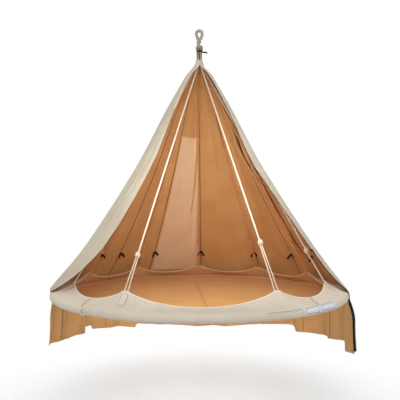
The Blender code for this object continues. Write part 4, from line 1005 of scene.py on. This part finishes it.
def pad_points(side):
    """Top and bottom of a half-round pad over one grid, with rounded edges and a soft crown."""
    split, radius = PAD_HALF_SPLIT, PAD_RADIUS - 0.002
    reach = np.sqrt(radius ** 2 - split ** 2)
    spread = np.linspace(-1, 1, 121)
    y = reach * np.sin(spread * np.pi / 2) * 0.99995
    edge = (1 - np.cos(np.linspace(0, np.pi, 61))) / 2
    y, share = np.meshgrid(y, edge, indexing="ij")
    width = np.sqrt(np.maximum(radius ** 2 - y ** 2, 0)) - split
    x = split + np.maximum(width, 0.0004) * share
    inside = np.minimum(x - split, radius - np.hypot(x, y))
    inside = np.clip(np.minimum(inside, reach - np.abs(y)), 0, None)
    corner = np.sqrt(np.clip(1 - (1 - np.minimum(inside / PAD_ROUNDING, 1)) ** 2, 0, 1))
    crown = PAD_CROWN * smooth_step(0, 0.30, inside)
    creases = soft_noise(x * 5 + 7 * side, y * 5, 41) * PAD_CREASES[0]
    creases = creases + soft_noise(x * 17, y * 13 + side, 42) * PAD_CREASES[1]
    pulled = np.exp(-inside / 0.05) * np.sin((y + 0.3 * x) * 95 + 2 * side) * PAD_PUCKERS
    middle = (PAD_TOP + PAD_BOTTOM) / 2
    top = middle + (PAD_TOP - 0.0006 - middle) * corner + crown + (creases + pulled - 0.0004) * corner
    bottom = middle + (PAD_BOTTOM + 0.0004 - middle) * corner
    shrink = 1 - 0.030 * (1 - smooth_step(0.0, 0.02, radius - np.hypot(x, y))) * (bottom < middle)
    upper = np.stack([x, y, top], axis=-1)
    lower = np.stack([x * shrink, y * shrink, bottom], axis=-1)
    return upper, lower


def make_pads():
    """The two half-round pads with the welt along their outer and inner edges."""
    for side, name in enumerate(("right", "left")):
        turn = PAD_SPLIT_TURN + 180 * side
        upper, lower = pad_points(side)
        rows, columns = upper.shape[:2]
        quads = grid_faces(rows, columns)[:, ::-1]
        below = rows * columns
        ring = np.arange(below).reshape(rows, columns)
        loop = np.concatenate([ring[:-1, 0], ring[-1, :-1], ring[:0:-1, -1], ring[0, :0:-1]])
        after = np.roll(loop, -1)
        sides = np.stack([loop, after, after + below, loop + below], axis=-1)
        points = np.concatenate([upper.reshape(-1, 3), lower.reshape(-1, 3)])
        faces = np.concatenate([quads, quads[:, ::-1] + below, sides])
        pad = new_piece(f"pad_{name}_cover", turned_to(-turn, points), faces, [pad_cloth], uv=points[:, :2],
                        nodes=[f"pad_{name}"], slot="pad_cloth")
        outline = upper.reshape(-1, 3)[loop]
        outline[:, 2] = PAD_TOP - WELT_DROP
        keep = np.append(True, np.linalg.norm(np.diff(outline, axis=0), axis=1) > 0.003)
        outline = turned_to(-turn, outline[keep])
        round_cord(f"pad_{name}_welt", outline, (0, 0, 1.0), WELT_RADIUS, 6, pad_cloth, "pad_cloth")


# Cover

def cover_radius(height):
    crest, above = (rope_radius_at(at) + ROPE_RADIUS + 0.004 for at in (RING_CREST, height))
    at_crest = HOOP_RADIUS + SLEEVE_RADIUS + CLOTH - 0.0105
    flare = (at_crest - crest) * np.exp(-np.maximum(height - RING_CREST, 0) / 0.28)
    drop = 0.0206 * (1 - np.exp(-np.maximum(RING_CREST - height, 0) / 0.018))
    return np.minimum(above, crest) + flare + drop


def seams_at(height):
    """Azimuths of the left edge, the eight seams and the right edge at each height."""
    upper = smooth_step(-0.05, 0.25, height)
    seams = [low + (high - low) * upper for high, low in zip(UPPER_SEAMS, LOWER_SEAMS)]
    return np.stack([through(LEFT_EDGE, height), *seams, through(RIGHT_EDGE, height)])


def straight_pull(height):
    """What pulls the right edge straight along the zip's working stretch."""
    def edge(at):
        return polar(through(RIGHT_EDGE, at), cover_radius(at), at)

    ends = STRAIGHT_EDGE_BOTTOM, STRAIGHT_EDGE_TOP
    share = (height - ends[0]) / (ends[1] - ends[0])
    low, high = (edge(np.full_like(height, end)) for end in ends)
    straight = low + (high - low) * share[..., None]
    return (straight - edge(height)) * ((share > 0) & (share < 1))[..., None]


def fold_line(azimuth, height, line, width, depth):
    """A crease along a line of (height, azimuth) points, fading at both ends."""
    heights = np.array([point[0] for point in line])
    place = through(line, height)
    span = heights[0] - heights[-1]
    top, bottom = (smooth_step(0, 0.2, gap / span) for gap in (heights[0] - height, height - heights[-1]))
    return depth * (top * bottom) * np.exp(-((azimuth - place) / width) ** 2)


def cover_relief(azimuth, u, height):
    """How far the cloth stands off its plain cone, outwards, from pleats, creases and the hanging skirt."""
    fall = np.clip((COVER_TOP - height) / COVER_TOP, 0, 1)
    pleats = soft_noise(azimuth * 0.13, height * 1.1, 1) * COVER_PLEATS[0]
    pleats += soft_noise(azimuth * 0.33, height * 1.7 + 3, 2) * COVER_PLEATS[1]
    creases = soft_noise(azimuth * 0.9, height * 4.5, 3) * COVER_CREASES[0]
    creases += soft_noise(azimuth * 0.22 + height * 5, height * 9, 4) * COVER_CREASES[1]
    creases += soft_noise(azimuth * 0.8, height * 1.5, 7) * COVER_CREASES[2] * smooth_step(-84, -100, azimuth)
    drape = smooth_step(-0.02, 0.30, -height)
    skirt = soft_noise(azimuth * 0.17 + 0.5, height * 0.7, 5) * SKIRT_RELIEF[0]
    waves = np.sin(np.radians(azimuth) * 31 + 3 * soft_noise(azimuth * 0.05, height, 6))
    skirt += waves * SKIRT_RELIEF[1]
    relief = (pleats + creases) * fall ** 0.8 * (1 - 0.5 * drape) + skirt * drape
    skirt_folds = ((((0.02, at), (-0.50, at)), width, depth) for at, width, depth in SKIRT_FOLDS)
    for line, width, depth in (*FOLDS, *skirt_folds):
        relief = relief + fold_line(azimuth, height, line, width, depth)
    seam = np.abs(u - np.round(u))
    relief *= 1 - np.exp(-(seam / 0.06) ** 2) * 0.7
    tight = 1 - bump(0.0, 0.16, height) * 0.75
    return relief * tight * smooth_step(0.0, 0.35, GORES - u) * smooth_step(0.0, 0.3, u)


def gore_span(seams, gore):
    """Azimuth of the first seam of each point's gore, and that gore's width in degrees."""
    first, last = (np.take_along_axis(seams, gore[None] + step, 0)[0] for step in (0, 1))
    return first, last - first


def cover_surface(u, height, relief=True):
    """Points of the cover's inner face. u counts gores from the left edge; its fraction crosses a gore."""
    u, height = np.broadcast_arrays(np.asarray(u, float), np.asarray(height, float))
    gore = np.clip(np.floor(u), 0, GORES - 1).astype(int)
    share = u - gore
    first, width = gore_span(seams_at(height), gore)
    azimuth = first + width * share
    fall = np.clip((COVER_TOP - height) / COVER_TOP, 0, 1)
    growth = 1 + 0.4 * np.clip(-height / 0.335, 0, 1.5)
    slack = np.maximum(40.0 - width, 0)
    fold = (0.006 + 0.0008 * slack) * fall * growth * np.sin(np.pi * share) ** 2
    shoulder = SHOULDER * smooth_step(COVER_TOP, COVER_TOP - 0.10, height)
    fold = fold + shoulder * (1 - smooth_step(1.25, 0.75, height))
    if relief:
        fold = fold + cover_relief(azimuth, u, height)
    points = polar(azimuth, cover_radius(height) + fold, height)
    last = gore == GORES - 1
    below = smooth_step(-0.03, 0.20, -height)
    flick = below * smooth_step(0.7, 1.0, share) * last + 0.65 * below * (1 - smooth_step(0.0, 0.7, u))
    points = points + straight_pull(height) * (share ** 2 * last)[..., None]
    return points + polar(azimuth, EDGE_FLICK * flick, 0.0)


def hem_depth(u):
    """Depth of the hem below the hoop at places across the cover."""
    seams = seams_at(np.full(1, SKIRT_HEIGHT))[:, 0]
    azimuth = np.interp(u, np.arange(len(seams)), seams)
    return np.interp(azimuth, *np.transpose(HEM))


def cover_heights(u, rows):
    """Heights down each column at rows that go from 0 at the top to 1 at the hoop and 2 at the hem."""
    above = COVER_TOP * (1 - np.clip(rows, 0, 1))[None]
    return above - hem_depth(u)[:, None] * np.clip(rows - 1, 0, 1)[None]


def gore_columns(count):
    """Places across the cover, so many in each gore."""
    return (np.arange(GORES)[:, None] + np.linspace(0, 1, count + 1)[:-1]).ravel()


def make_canopy():
    """The cover's gores as one sheet, cream outside and tan inside, twice as thick along its hem."""
    columns = np.append(gore_columns(GORE_COLUMNS), GORES)
    rows = np.concatenate([np.linspace(0, 1, COVER_ROWS), np.linspace(1, 2, SKIRT_ROWS)[1:]])
    grid = cover_surface(columns[:, None], cover_heights(columns, rows))
    thickness = CANVAS + CANVAS * smooth_step(*HEM_ROWS, rows)
    canopy = cloth_shell("canopy", grid, thickness, [cream_canvas, tan_canvas],
                         nodes=[f"cover_gore_{n + 1}" for n in range(9)], slot="cover_canvas")


def cover_frames(u, heights):
    """Points down the cover's inner face with the directions across and outwards there."""
    middle = cover_surface(u, heights)
    across = cover_surface(u + 0.01, heights) - cover_surface(u - 0.01, heights)
    down = unit(np.gradient(middle, axis=0))
    out = unit(np.cross(unit(across), down))
    return middle, unit(np.cross(down, out)), out


def make_seams():
    """Felled seams inside and out, each sewn down with two rows of stitches."""
    inside, outside = [], []
    sides = (("inner", SEAM_LIFTS[0], tan_seam, -1, inside), ("outer", SEAM_LIFTS[1], cream_seam, 1, outside))
    for seam in range(1, GORES):
        bottom = -float(hem_depth(float(seam))) + 0.001
        heights = np.concatenate([np.linspace(COVER_TOP - 0.02, 0, 120), np.linspace(0, bottom, 30)[1:]])
        wide = SEAM_HALF_WIDTH * np.clip((COVER_TOP - heights) / 0.5, 0.35, 1)
        middle, across, out = cover_frames(float(seam), heights)
        for side, lift, look, facing, lines in sides:
            grid = beside(middle, across, np.array([-1, -0.6, 0, 0.6, 1])[:, None] * wide, out * lift)
            # Below the hoop the soft seams take a paler painted shade in their crease
            below = soft_seam if look == tan_seam and seam in SOFT_SEAMS else look
            for part, rows, cloth in (("", heights >= 0, look), ("_skirt", heights <= 0, below)):
                name = f"seam_{seam}_{side}{part}"
                cloth_shell(name, grid[:, rows], SEAM_CLOTH, [cloth], slot="cover_canvas")
            face = lift + SEAM_CLOTH if side == "outer" else lift
            for line in beside(middle, across, np.array([-0.7, 0.7])[:, None] * wide, out * face):
                lines.append((line, out * facing))
    stitches("seam_stitches_inner", inside, tan_thread, "cover_canvas", **SEAM_STITCH)
    stitches("seam_stitches_outer", outside, cream_thread, "cover_canvas", **SEAM_STITCH)


# Trim of the tray

def edge_binding(name, edge, before, look, aside, half_width, half_height, slot):
    """A tape folded over the edge of a layer, and the line of stitches that holds it."""
    up = unit(edge - before)
    along = round_directions(edge)
    across = unit(np.cross(along, up))
    across = across * np.sign(across[:, 2:])
    up = unit(up - along * (up * along).sum(axis=1, keepdims=True))
    turns = np.linspace(0, 2 * np.pi, 13)[:-1]
    wide = half_width * np.sign(np.cos(turns)) * np.abs(np.cos(turns)) ** 0.6
    tall = half_height * np.sign(np.sin(turns)) * np.abs(np.sin(turns)) ** 0.8
    middle = edge + across * aside - up * (half_height - 0.0012)
    ripple = 1 + 0.10 * np.sin(np.arange(len(edge)) * 1.9)[:, None, None]
    rings = middle[:, None] + across[:, None] * wide[None, :, None] * ripple
    closed_loop(name, rings + up[:, None] * tall[None, :, None], [look], slot=slot)
    face = across * np.sign(aside)
    return middle - up * half_height * 0.45 + face * half_width * 0.96, face


def place_on_rim(rim, azimuth, share):
    """Row and column of the rim's face at an azimuth, a share of the way from under the tube to its edge."""
    azimuths, grid = rim
    row = np.interp((azimuth - azimuths[0]) % 360, azimuths - azimuths[0], np.arange(len(azimuths)))
    return row, np.asarray(share) * (grid.shape[1] - 1)


def rim_normals(grid):
    """Directions straight out of the rim's face."""
    return -grid_normals(grid, True)


def rim_patch(name, rim, low, high, shares, thickness, look, node):
    """Cloth laid on the rim from a low to a high pair of azimuths, and the lines of its stitched border."""
    across, up = np.linspace(0, 1, 13)[:, None], np.linspace(0, 1, 13)[None]
    azimuth = (low[0] + (low[1] - low[0]) * across) * (1 - up) + (high[0] + (high[1] - high[0]) * across) * up
    rows, columns = place_on_rim(rim, azimuth, shares[0] + (shares[1] - shares[0]) * up)
    grid = on_grid(rim[1], rows, columns)
    out = -grid_normals(grid)
    wave = soft_noise(rows * 0.9, columns * 0.8, 51) * 0.0004
    grid = grid + out * (PATCH_LIFT + wave + 0.0004)[..., None]
    cloth_shell(name, grid[::-1], thickness, [look], nodes=[node], slot="rim_canvas")
    face = grid + out * (thickness + 0.0001)
    ring = [(1, slice(1, -1)), (slice(1, -1), -2), (-2, slice(-2, 0, -1)), (slice(-2, 0, -1), 1)]
    return [(face[at], out[at]) for at in ring]


def rim_strip(name, rim, line, half_width, thickness):
    """A narrow strip along (azimuth, share) points on the rim: its middle, and directions across and out."""
    line = [(azimuth, share * RIM_DEGREES, 0) for azimuth, share in line]
    azimuths, shares = resampled(line, 0.5)[:, :2].T
    rows, columns = place_on_rim(rim, azimuths, shares / RIM_DEGREES)
    middle = on_grid(rim[1], rows, columns)
    out = unit(on_grid(rim_normals(rim[1]), rows, columns))
    across = unit(np.cross(unit(np.gradient(middle, axis=0)), out))
    grid = beside(middle, across, np.linspace(1, -1, 5) * half_width, out * 0.0003)
    cloth_shell(name, grid, thickness, [seam_rim_cloth], facing=out, slot="rim_canvas")
    return middle, across, out


def make_rim_trim(rim, lining):
    """Bindings, seams, stitches, the bare tag and the two patches of the rim."""
    grid = rim[1]
    out = rim_normals(grid)
    rows = [edge_binding("rim_binding", grid[:, -1], grid[:, -2], binding_cloth, aside=-0.0006,
                         half_width=0.0017, half_height=0.0036, slot="rim_canvas")]
    edge_binding("lining_binding", lining[:, -1], lining[:, -2], lining_binding_cloth, aside=0.0005,
                 half_width=0.0010, half_height=0.0044, slot="lining_canvas")
    rows += [(grid[:, column] + out[:, column] * 0.0002, out[:, column]) for column in (31, 8)]
    stitches("rim_stitches", rows, cream_thread, "rim_canvas", pitch=0.010, length=0.0065)
    lines = []
    for number, line in enumerate(RIM_SEAMS):
        name = f"rim_seam_{number + 1}"
        middle, across, normal = rim_strip(name, rim, line, 0.0050, TAPE)
        lines += [(row, normal) for row in beside(middle, across, (-0.0038, 0.0038), normal * 0.0014)]
    line = [(PATCH_1[1] + 0.6 + step, 0.46 - 0.006 * step) for step in range(0, 14, 2)]
    middle, across, normal = rim_strip("closure_seam", rim, line, 0.0018, THIN_CANVAS)
    lines.append((middle + normal * 0.0012, normal))
    stitches("rim_seam_stitches", lines, grey_thread, "rim_canvas")
    tag = rim_patch("tag_cloth", rim, TAG_BOTTOM, TAG_TOP, TAG_SHARES, THIN_CANVAS, tag_cloth, "blank_tag")
    stitches("tag_stitches", tag, grey_thread, "rim_canvas", pitch=0.006, length=0.0056, width=0.0026)
    borders = []
    for number, span in ((1, PATCH_1), (2, PATCH_2)):
        borders += rim_patch(f"patch_cloth_{number}", rim, span, span, PATCH_SHARES, CANVAS, patch_cloth,
                             f"closure_patch_{number}")
    stitches("patch_stitches", borders, grey_thread, "rim_canvas", pitch=0.0046, length=0.0045, width=0.0030)
    make_rim_loop(rim)


def make_rim_loop(rim):
    """The short loop of white tape that shows at the sleeve's left seam."""
    azimuths = RIM_LOOP_AZIMUTH + np.array([0.0, 0.4, 0.55, 0.3, -0.3, -0.9, -1.1, -1.0, -0.6])
    shares = np.array([0.41, 0.35, 0.27, 0.18, 0.14, 0.18, 0.27, 0.35, 0.41])
    rows, columns = place_on_rim(rim, azimuths, shares)
    lift = 0.0010 + 0.0042 * np.sin(np.linspace(0, np.pi, 9))
    path = on_grid(rim[1], rows, columns) + on_grid(rim_normals(rim[1]), rows, columns) * lift[:, None]
    path = resampled(path, 0.0016)
    normal = unit(path * (1, 1, 0))
    across = unit(np.cross(unit(np.gradient(path, axis=0)), normal))
    strip = beside(path, across, TAPE_LINES * RIM_LOOP_WIDTH)
    cloth_shell("rim_loop", strip, THIN_CANVAS, [binding_cloth], facing=normal, slot="rim_canvas")


# Trim of the cover

def make_gathers():
    """The folds of spare cloth on the right side, each rolled over so that one side of it is open, with a
    dark strip of painted shade in that side.
    """
    for number, (line, half_width, depth) in enumerate(GATHERS):
        heights = np.linspace(line[0][0], line[-1][0], 110)
        seams = seams_at(heights)
        azimuths = through(line, heights)
        u = np.array([np.interp(at, seams[:, row], np.arange(len(seams))) for row, at in enumerate(azimuths)])
        gore = np.radians(gore_span(seams, np.floor(u).astype(int))[1])
        share = np.linspace(0, 1, len(heights))
        size = np.sin(np.pi * share) ** 0.6 * (1 + 0.18 * np.sin(share * 17 + number))

        def fold(reach, inwards):
            """The line at a reach across the fold, in half widths, and so far into the cover."""
            aside = reach * size * half_width / (cover_radius(heights) * gore)
            there, _, out = cover_frames(u + aside, heights)
            return there - out * np.reshape(inwards, (-1, 1))

        roll = [fold(reach, 0.0002 + rise * size * depth) for reach, rise in GATHER_ROLL]
        # A dark strip of painted shade just inside each fold's open side
        crease = [fold(reach, 0.0012) for reach in GATHER_SHADE_STRIP]
        inward = -cover_frames(u, heights)[2]
        parts = (("", roll, CANVAS, tan_canvas), ("_painted_shade_strip", crease, 0.0008, painted_fold_shade))
        for part, lines, thickness, look in parts:
            cloth_shell(f"gather_{number + 1}{part}", np.array(lines), thickness, [look], facing=inward,
                        slot="cover_canvas")


def make_window():
    """The cloth sewn into the gore left of the middle, paler with painted light that shines through it, its
    stitched border and its cover strip.
    """
    u = 4 + np.linspace(0.035, 0.945, 33)[:, None]
    share = np.linspace(0, 1, 120)[None]
    top = WINDOW_TOP - 0.006 * (u - 4)
    heights = top + (WINDOW_BOTTOM - top) * share
    base = cover_surface(u, heights)
    out = grid_normals(base)
    sag = 0.0010 * np.abs(np.sin(heights * 23 + u * 5)) * np.sin(np.pi * (u - 4)) + 0.0008
    grid = base - out * sag[..., None]
    window = cloth_shell("window_cloth_painted_light", grid - out * 0.0010, THIN_CANVAS, [window_cloth_painted_light],
                         nodes=["window_panel"], slot="lining_canvas")
    face = grid - out * 0.0013
    rows = [(face[k], -out[k]) for k in (1, -2)] + [(face[:, k], -out[:, k]) for k in (1, 3, -2)]
    stitches("window_stitches", rows, tan_thread, "lining_canvas", pitch=0.008, length=0.0055)
    top, bottom = WINDOW_STRIP_ENDS
    heights = np.linspace(top, bottom, 60)
    share = (top - heights) / (top - bottom)
    middle, across, out = cover_frames(4.90 - 0.16 * share, heights)
    wide = 0.010 * (1 - share) ** 0.6 + 0.0015
    strip = beside(middle, across, np.linspace(-1, 1, 5)[:, None] * wide, -out * 0.0042)
    cloth_shell("window_strip", strip, CANVAS, [tan_canvas], slot="lining_canvas")


def make_facing():
    """The front border beside the left opening, turned back over the cover near the apex."""
    heights = np.linspace(COVER_TOP - 0.002, FACING_BOTTOM, 90)
    share = (heights[0] - heights) / (heights[0] - heights[-1])
    wide = FACING_WIDTH + 0.004 * np.sin(np.pi * share) - 0.010 * smooth_step(0.85, 1.0, share)
    over = FACING_ROLL * (1 - 0.6 * share)
    middle, across, out = cover_frames(0.0, heights)
    strip = []
    for reach, lift in ((0.3, -0.0018), (-0.6, -0.0022), (-1.0, -0.0004), (-0.9, 0.0032), (-0.3, 0.0052)):
        strip.append(middle + across * (reach * over)[:, None] + out * lift)
    for reach in np.linspace(0.1, 1, 9):
        u = reach * wide / (cover_radius(heights) * np.radians(38.0))
        there, _, normal = cover_frames(np.clip(u, 0, 0.95), heights)
        curl = 0.0038 + 0.0020 * np.sin(np.pi * reach) + 0.0010 * np.sin(heights * 61)
        strip.append(there + normal * curl[:, None])
    strip = np.array(strip)
    cloth_shell("front_facing", strip, CANVAS, [facing_cloth], slot="cover_canvas")
    out = grid_normals(strip)
    line = strip[-2] + out[-2] * 0.0011
    stitches("facing_stitches", [(line, out[-2])], tan_thread, "cover_canvas", pitch=0.008)


def make_collar():
    """The gathered collar that closes the cover's top, with a bound upper edge."""
    azimuths = np.linspace(0, 360, 145)[:-1][:, None]
    share = np.linspace(0, 1, 22)[None]
    low = float(cover_radius(COVER_TOP)) + 0.0004
    top = float(rope_radius_at(COLLAR_TOP - 0.013)) + ROPE_RADIUS + 0.0006
    folds = COLLAR_FOLDS[0] * np.sin(np.radians(azimuths) * 13 + 1.5 * share)
    folds = folds + soft_noise(azimuths * 0.09, share * 3, 61) * COLLAR_FOLDS[1]
    folds = (folds + 0.0014) * np.sin(np.pi * share) ** 0.5
    radius = low + (top - low) * share + folds - 0.0016 * np.sin(np.pi * share)
    height = COVER_TOP + 0.0012 + (COLLAR_TOP - COVER_TOP - 0.014) * share
    grid = polar(azimuths, radius, height)
    collar = cloth_shell("collar_cloth", grid[::-1], STOUT_CANVAS, [facing_cloth], wrap=True,
                         nodes=["cover_collar"], slot="cover_canvas")
    out = unit(grid[:, 20] * (1, 1, 0))
    round_cord("collar_binding", grid[:, 20] + out * 0.0014, out, 0.0016, 8, facing_cloth, "cover_canvas")


def make_ties():
    """Black tapes knotted through a stitched bar, their two tails hanging apart."""
    steps = np.linspace(-1, 1, 41)
    for number, azimuth in enumerate(TIE_AZIMUTHS):
        lean = hashed(number, 3, 5)
        left, right = 0.024 + 0.004 * hashed(number, 1, 7), 0.027 + 0.006 * hashed(number, 2, 9)
        reach = np.where(steps < 0, left, right)
        heights = TIE_HEIGHT - 0.004 - 0.030 * np.abs(steps) ** 1.9 * (1 + 0.25 * lean * np.sign(steps))
        radius = cover_radius(heights) - 0.010
        inward, side = -polar(azimuth, 1.0, 0.0), polar(azimuth + 90, 1.0, 0.0)
        curl = 0.004 + 0.009 * np.abs(steps) ** 2 + 0.003 * np.sin(4 * steps + number)
        middle = polar(azimuth, radius[20], 0.0) * (1, 1, 0)
        path = middle + side * (steps * reach)[:, None] + inward * curl[:, None]
        path[:, 2] = heights
        ahead = unit(np.gradient(path, axis=0))
        facing = unit(inward + side * (0.4 * steps * lean)[:, None] + (0, 0, -0.25))
        width = unit(np.cross(ahead, facing))
        grid = beside(path, width, TAPE_LINES * TIE_WIDTH)
        cloth_shell(f"tie_{number + 1}", grid, TAPE, [black_webbing], facing=inward,
                    nodes=[f"cover_tie_{number + 1}"], slot="black_webbing")
        turns = np.linspace(0, 2 * np.pi, 25)[:-1, None]
        knot = path[20] + inward * 0.0035 + side * 0.0075 * np.cos(turns)
        knot = knot + inward * 0.0015 * np.sin(2 * turns) + np.array((0, 0, 0.0065)) * np.sin(turns)
        round_cord(f"tie_knot_{number + 1}", knot, inward, TIE_KNOT_RADIUS, 8, black_webbing, "black_webbing")


# Zip

def zip_frames(heights):
    """Points down the right edge with its directions away from the cloth and outwards."""
    def edge(at):
        return cover_surface(GORES, at, relief=False)

    ends = np.array([STRAIGHT_EDGE_BOTTOM, STRAIGHT_EDGE_TOP])
    down = unit(edge(heights - 0.003) - edge(heights + 0.003))
    level = (heights >= ends[0]) & (heights <= ends[1])
    low, high = edge(ends)
    down[level] = unit(low - high)
    straight = through(RIGHT_EDGE, ends).mean()
    above = smooth_step(ends[1], ends[1] + 0.2, heights)
    below = smooth_step(-ends[0], -ends[0] + 0.15, -heights)
    azimuth = straight + (through(RIGHT_EDGE, heights) - straight) * np.maximum(above, below)
    rise = np.radians(30) * smooth_step(-0.05, 0.15, heights)
    out = polar(azimuth, np.cos(rise), np.sin(rise))
    out = unit(out - down * (out * down).sum(axis=1, keepdims=True))
    return edge(heights) + out * 0.001, np.cross(down, out), out


def make_zip():
    """Tapes and teeth on both front edges, the border beside the right one and the flap over the left one."""
    heights = np.linspace(*RIGHT_TAPE_ENDS, 300)
    place, across, out = zip_frames(heights)
    twist = np.radians(80) * smooth_step(-0.02, 0.12, -heights)[:, None]
    ahead, facing = across * np.cos(twist) + out * np.sin(twist), out * np.cos(twist) - across * np.sin(twist)

    def line(reach, lift):
        points = place + ahead * reach
        least = cover_radius(points[:, 2]) + 0.001
        push = np.maximum(least / np.linalg.norm(points[:, :2], axis=1), 1.0)
        push = np.where(heights < STRAIGHT_EDGE_BOTTOM, push, 1.0)
        return points * np.stack([push, push, np.ones_like(push)], axis=-1) + facing * lift

    tape = np.array([line(reach, -0.0005) for reach in (-0.004, 0.001, 0.004, 0.007, 0.0100)])
    cloth_shell("zip_tape_right_cloth", tape, CANVAS, [zip_tape], facing=facing, nodes=["zip_tape_right"],
                slot="black_webbing")
    above = heights > ZIP_BORDER_BOTTOM
    border = np.array([line(reach, 0.0009)[above] for reach in (-0.006, -0.003, 0.0, 0.003, 0.0058)])
    cloth_shell("zip_border", border, CANVAS, [cream_canvas], facing=facing[above], slot="cover_canvas")
    core = line(0.0115, 0.0)
    both = [(core + facing * 0.0001, facing), (core - facing * 0.0001, -facing)]
    stitches("zip_teeth_right", both, zip_teeth, "black_webbing", height=0.0014, **ZIP_TOOTH)
    heights = np.linspace(*LEFT_TAPE_ENDS, 260)
    middle, across, out = cover_frames(0.012, heights)
    strip = beside(middle, across, (0.0006, 0.004, 0.008, 0.012, 0.0155), -out * 0.0022)
    cloth_shell("zip_tape_left_cloth", strip, CANVAS, [zip_tape], nodes=["zip_tape_left"],
                slot="black_webbing")
    flap = heights < -0.01
    turns = ((-0.0008, 0.0012), (-0.0026, -0.0006), (-0.0026, -0.0034), (-0.0010, -0.0052), (0.008, -0.0052),
             (0.016, -0.0050), (0.024, -0.0040))
    guard = np.array([middle + across * reach + out * lift for reach, lift in turns])
    cloth_shell("zip_flap", guard[:, flap], CANVAS, [tan_canvas], slot="cover_canvas")
    core = middle + across * 0.0022 - out * 0.0024
    stitches("zip_teeth_left", [(core, -out)], zip_teeth, "black_webbing", height=0.0020, **ZIP_TOOTH)


def make_hem():
    """Two rows of stitches inside and out along the hem."""
    columns = gore_columns(HEM_STITCH_COLUMNS)
    inside, outside = [], []
    for rise in (0.022, 0.005):
        heights = cover_heights(columns, np.array([2.0]))[:, 0] + rise
        middle = cover_surface(columns, heights)
        ahead = unit(np.gradient(middle, axis=0))
        down = unit(cover_surface(columns, heights - 0.004) - cover_surface(columns, heights + 0.004))
        out = unit(np.cross(ahead, down))
        inside.append((middle - out * 0.0002, -out))
        outside.append((middle + out * 0.0021, out))
    stitches("hem_stitches_inner", inside, tan_thread, "cover_canvas", **HEM_STITCH)
    stitches("hem_stitches_outer", outside, cream_thread, "cover_canvas", **HEM_STITCH)


def finish_frame_nodes():
    """Gives the metal parts that stay from the frame their own materials."""
    looks = (("hoop_tube", hoop_metal), ("snap_button", button_metal), ("zip_slider", zip_metal),
             ("zip_pull", zip_metal))
    for name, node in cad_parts.items():
        for start, look in looks:
            if name.startswith(start):
                for place in node.material_slots:
                    place.material = look


rim_face = make_rim()
lining_face = make_lining()
make_base()
make_pads()
make_canopy()
make_seams()
make_rim_trim(rim_face, lining_face)
make_window()
make_facing()
make_gathers()
make_collar()
make_ties()
make_zip()
make_hem()
finish_frame_nodes()


# Stage, lamps and camera

def make_floor():
    """A pale floor that shows the soft shadow of the object and fades into the white backdrop."""
    bpy.ops.mesh.primitive_plane_add(size=FLOOR_SIZE, location=(0, 0, FLOOR_HEIGHT))
    floor = bpy.context.object
    floor.name = "floor"
    made = Look("floor_white", 0.95)
    made.set(made.shader.inputs["Base Color"], (*FLOOR_COLOUR, 1.0))
    spot = made.add("Mapping", Vector=made.coordinates.outputs["Object"], Location=SHADOW_SHIFT,
                    Scale=(1 / SHADOW_REACH[0], 1 / SHADOW_REACH[1], 1))
    distance = made.add("VectorMath", 1, {"operation": "LENGTH"}, i0=spot)
    fade = made.add("MapRange", 0, {"interpolation_type": "SMOOTHSTEP"}, Value=distance,
                    From_Min=SHADOW_FADE[0], From_Max=SHADOW_FADE[1])
    lit = made.shader.outputs[0]
    lifted = made.add("AddShader", i0=lit, i1=made.add("Emission", Strength=FLOOR_LIFT))
    shadowed = made.add("MixShader", i0=fade, i1=lifted, i2=made.add("Emission"))
    seen = made.add("MixShader", i0=made.background_share(), i1=lit, i2=shadowed)
    made.set(made.tree.nodes["Material Output"].inputs["Surface"], seen)
    floor.data.materials.append(made.material)


def make_world():
    """White behind the object, and an even light on it."""
    world = bpy.data.worlds.new("studio")
    bpy.context.scene.world = world
    made = Tree(world)
    soft = made.tree.nodes["Background"]
    made.set(soft.inputs["Color"], (1, 1, 1, 1))
    made.set(soft.inputs["Strength"], WORLD_LIGHT)
    white = made.add("Background", Color=(1, 1, 1, 1))
    seen = made.add("MixShader", i0=made.background_share(), i1=soft.outputs[0], i2=white)
    made.set(made.tree.nodes["World Output"].inputs["Surface"], seen)


def area_lamp(name, place, target, size, power, spread):
    light = bpy.data.lights.new(name, "AREA")
    light.shape, light.size, light.energy, light.spread = "DISK", size, power, radians(spread)
    lamp = bpy.data.objects.new(name, light)
    bpy.context.scene.collection.objects.link(lamp)
    lamp.location = place
    lamp.rotation_euler = (Vector(target) - Vector(place)).to_track_quat("-Z", "Y").to_euler()
    lamp.visible_camera = False


def make_camera():
    data = bpy.data.cameras.new("camera")
    data.lens, data.sensor_width = LENS, SENSOR
    camera = bpy.data.objects.new("camera", data)
    bpy.context.scene.collection.objects.link(camera)
    camera.location = CAMERA_PLACE
    camera.rotation_euler = (radians(CAMERA_TILT), 0, 0)
    bpy.context.scene.camera = camera


make_floor()
make_world()
for lamp_values in LAMPS:
    area_lamp(*lamp_values)
make_camera()
bpy.context.scene.view_settings.view_transform = "Standard"
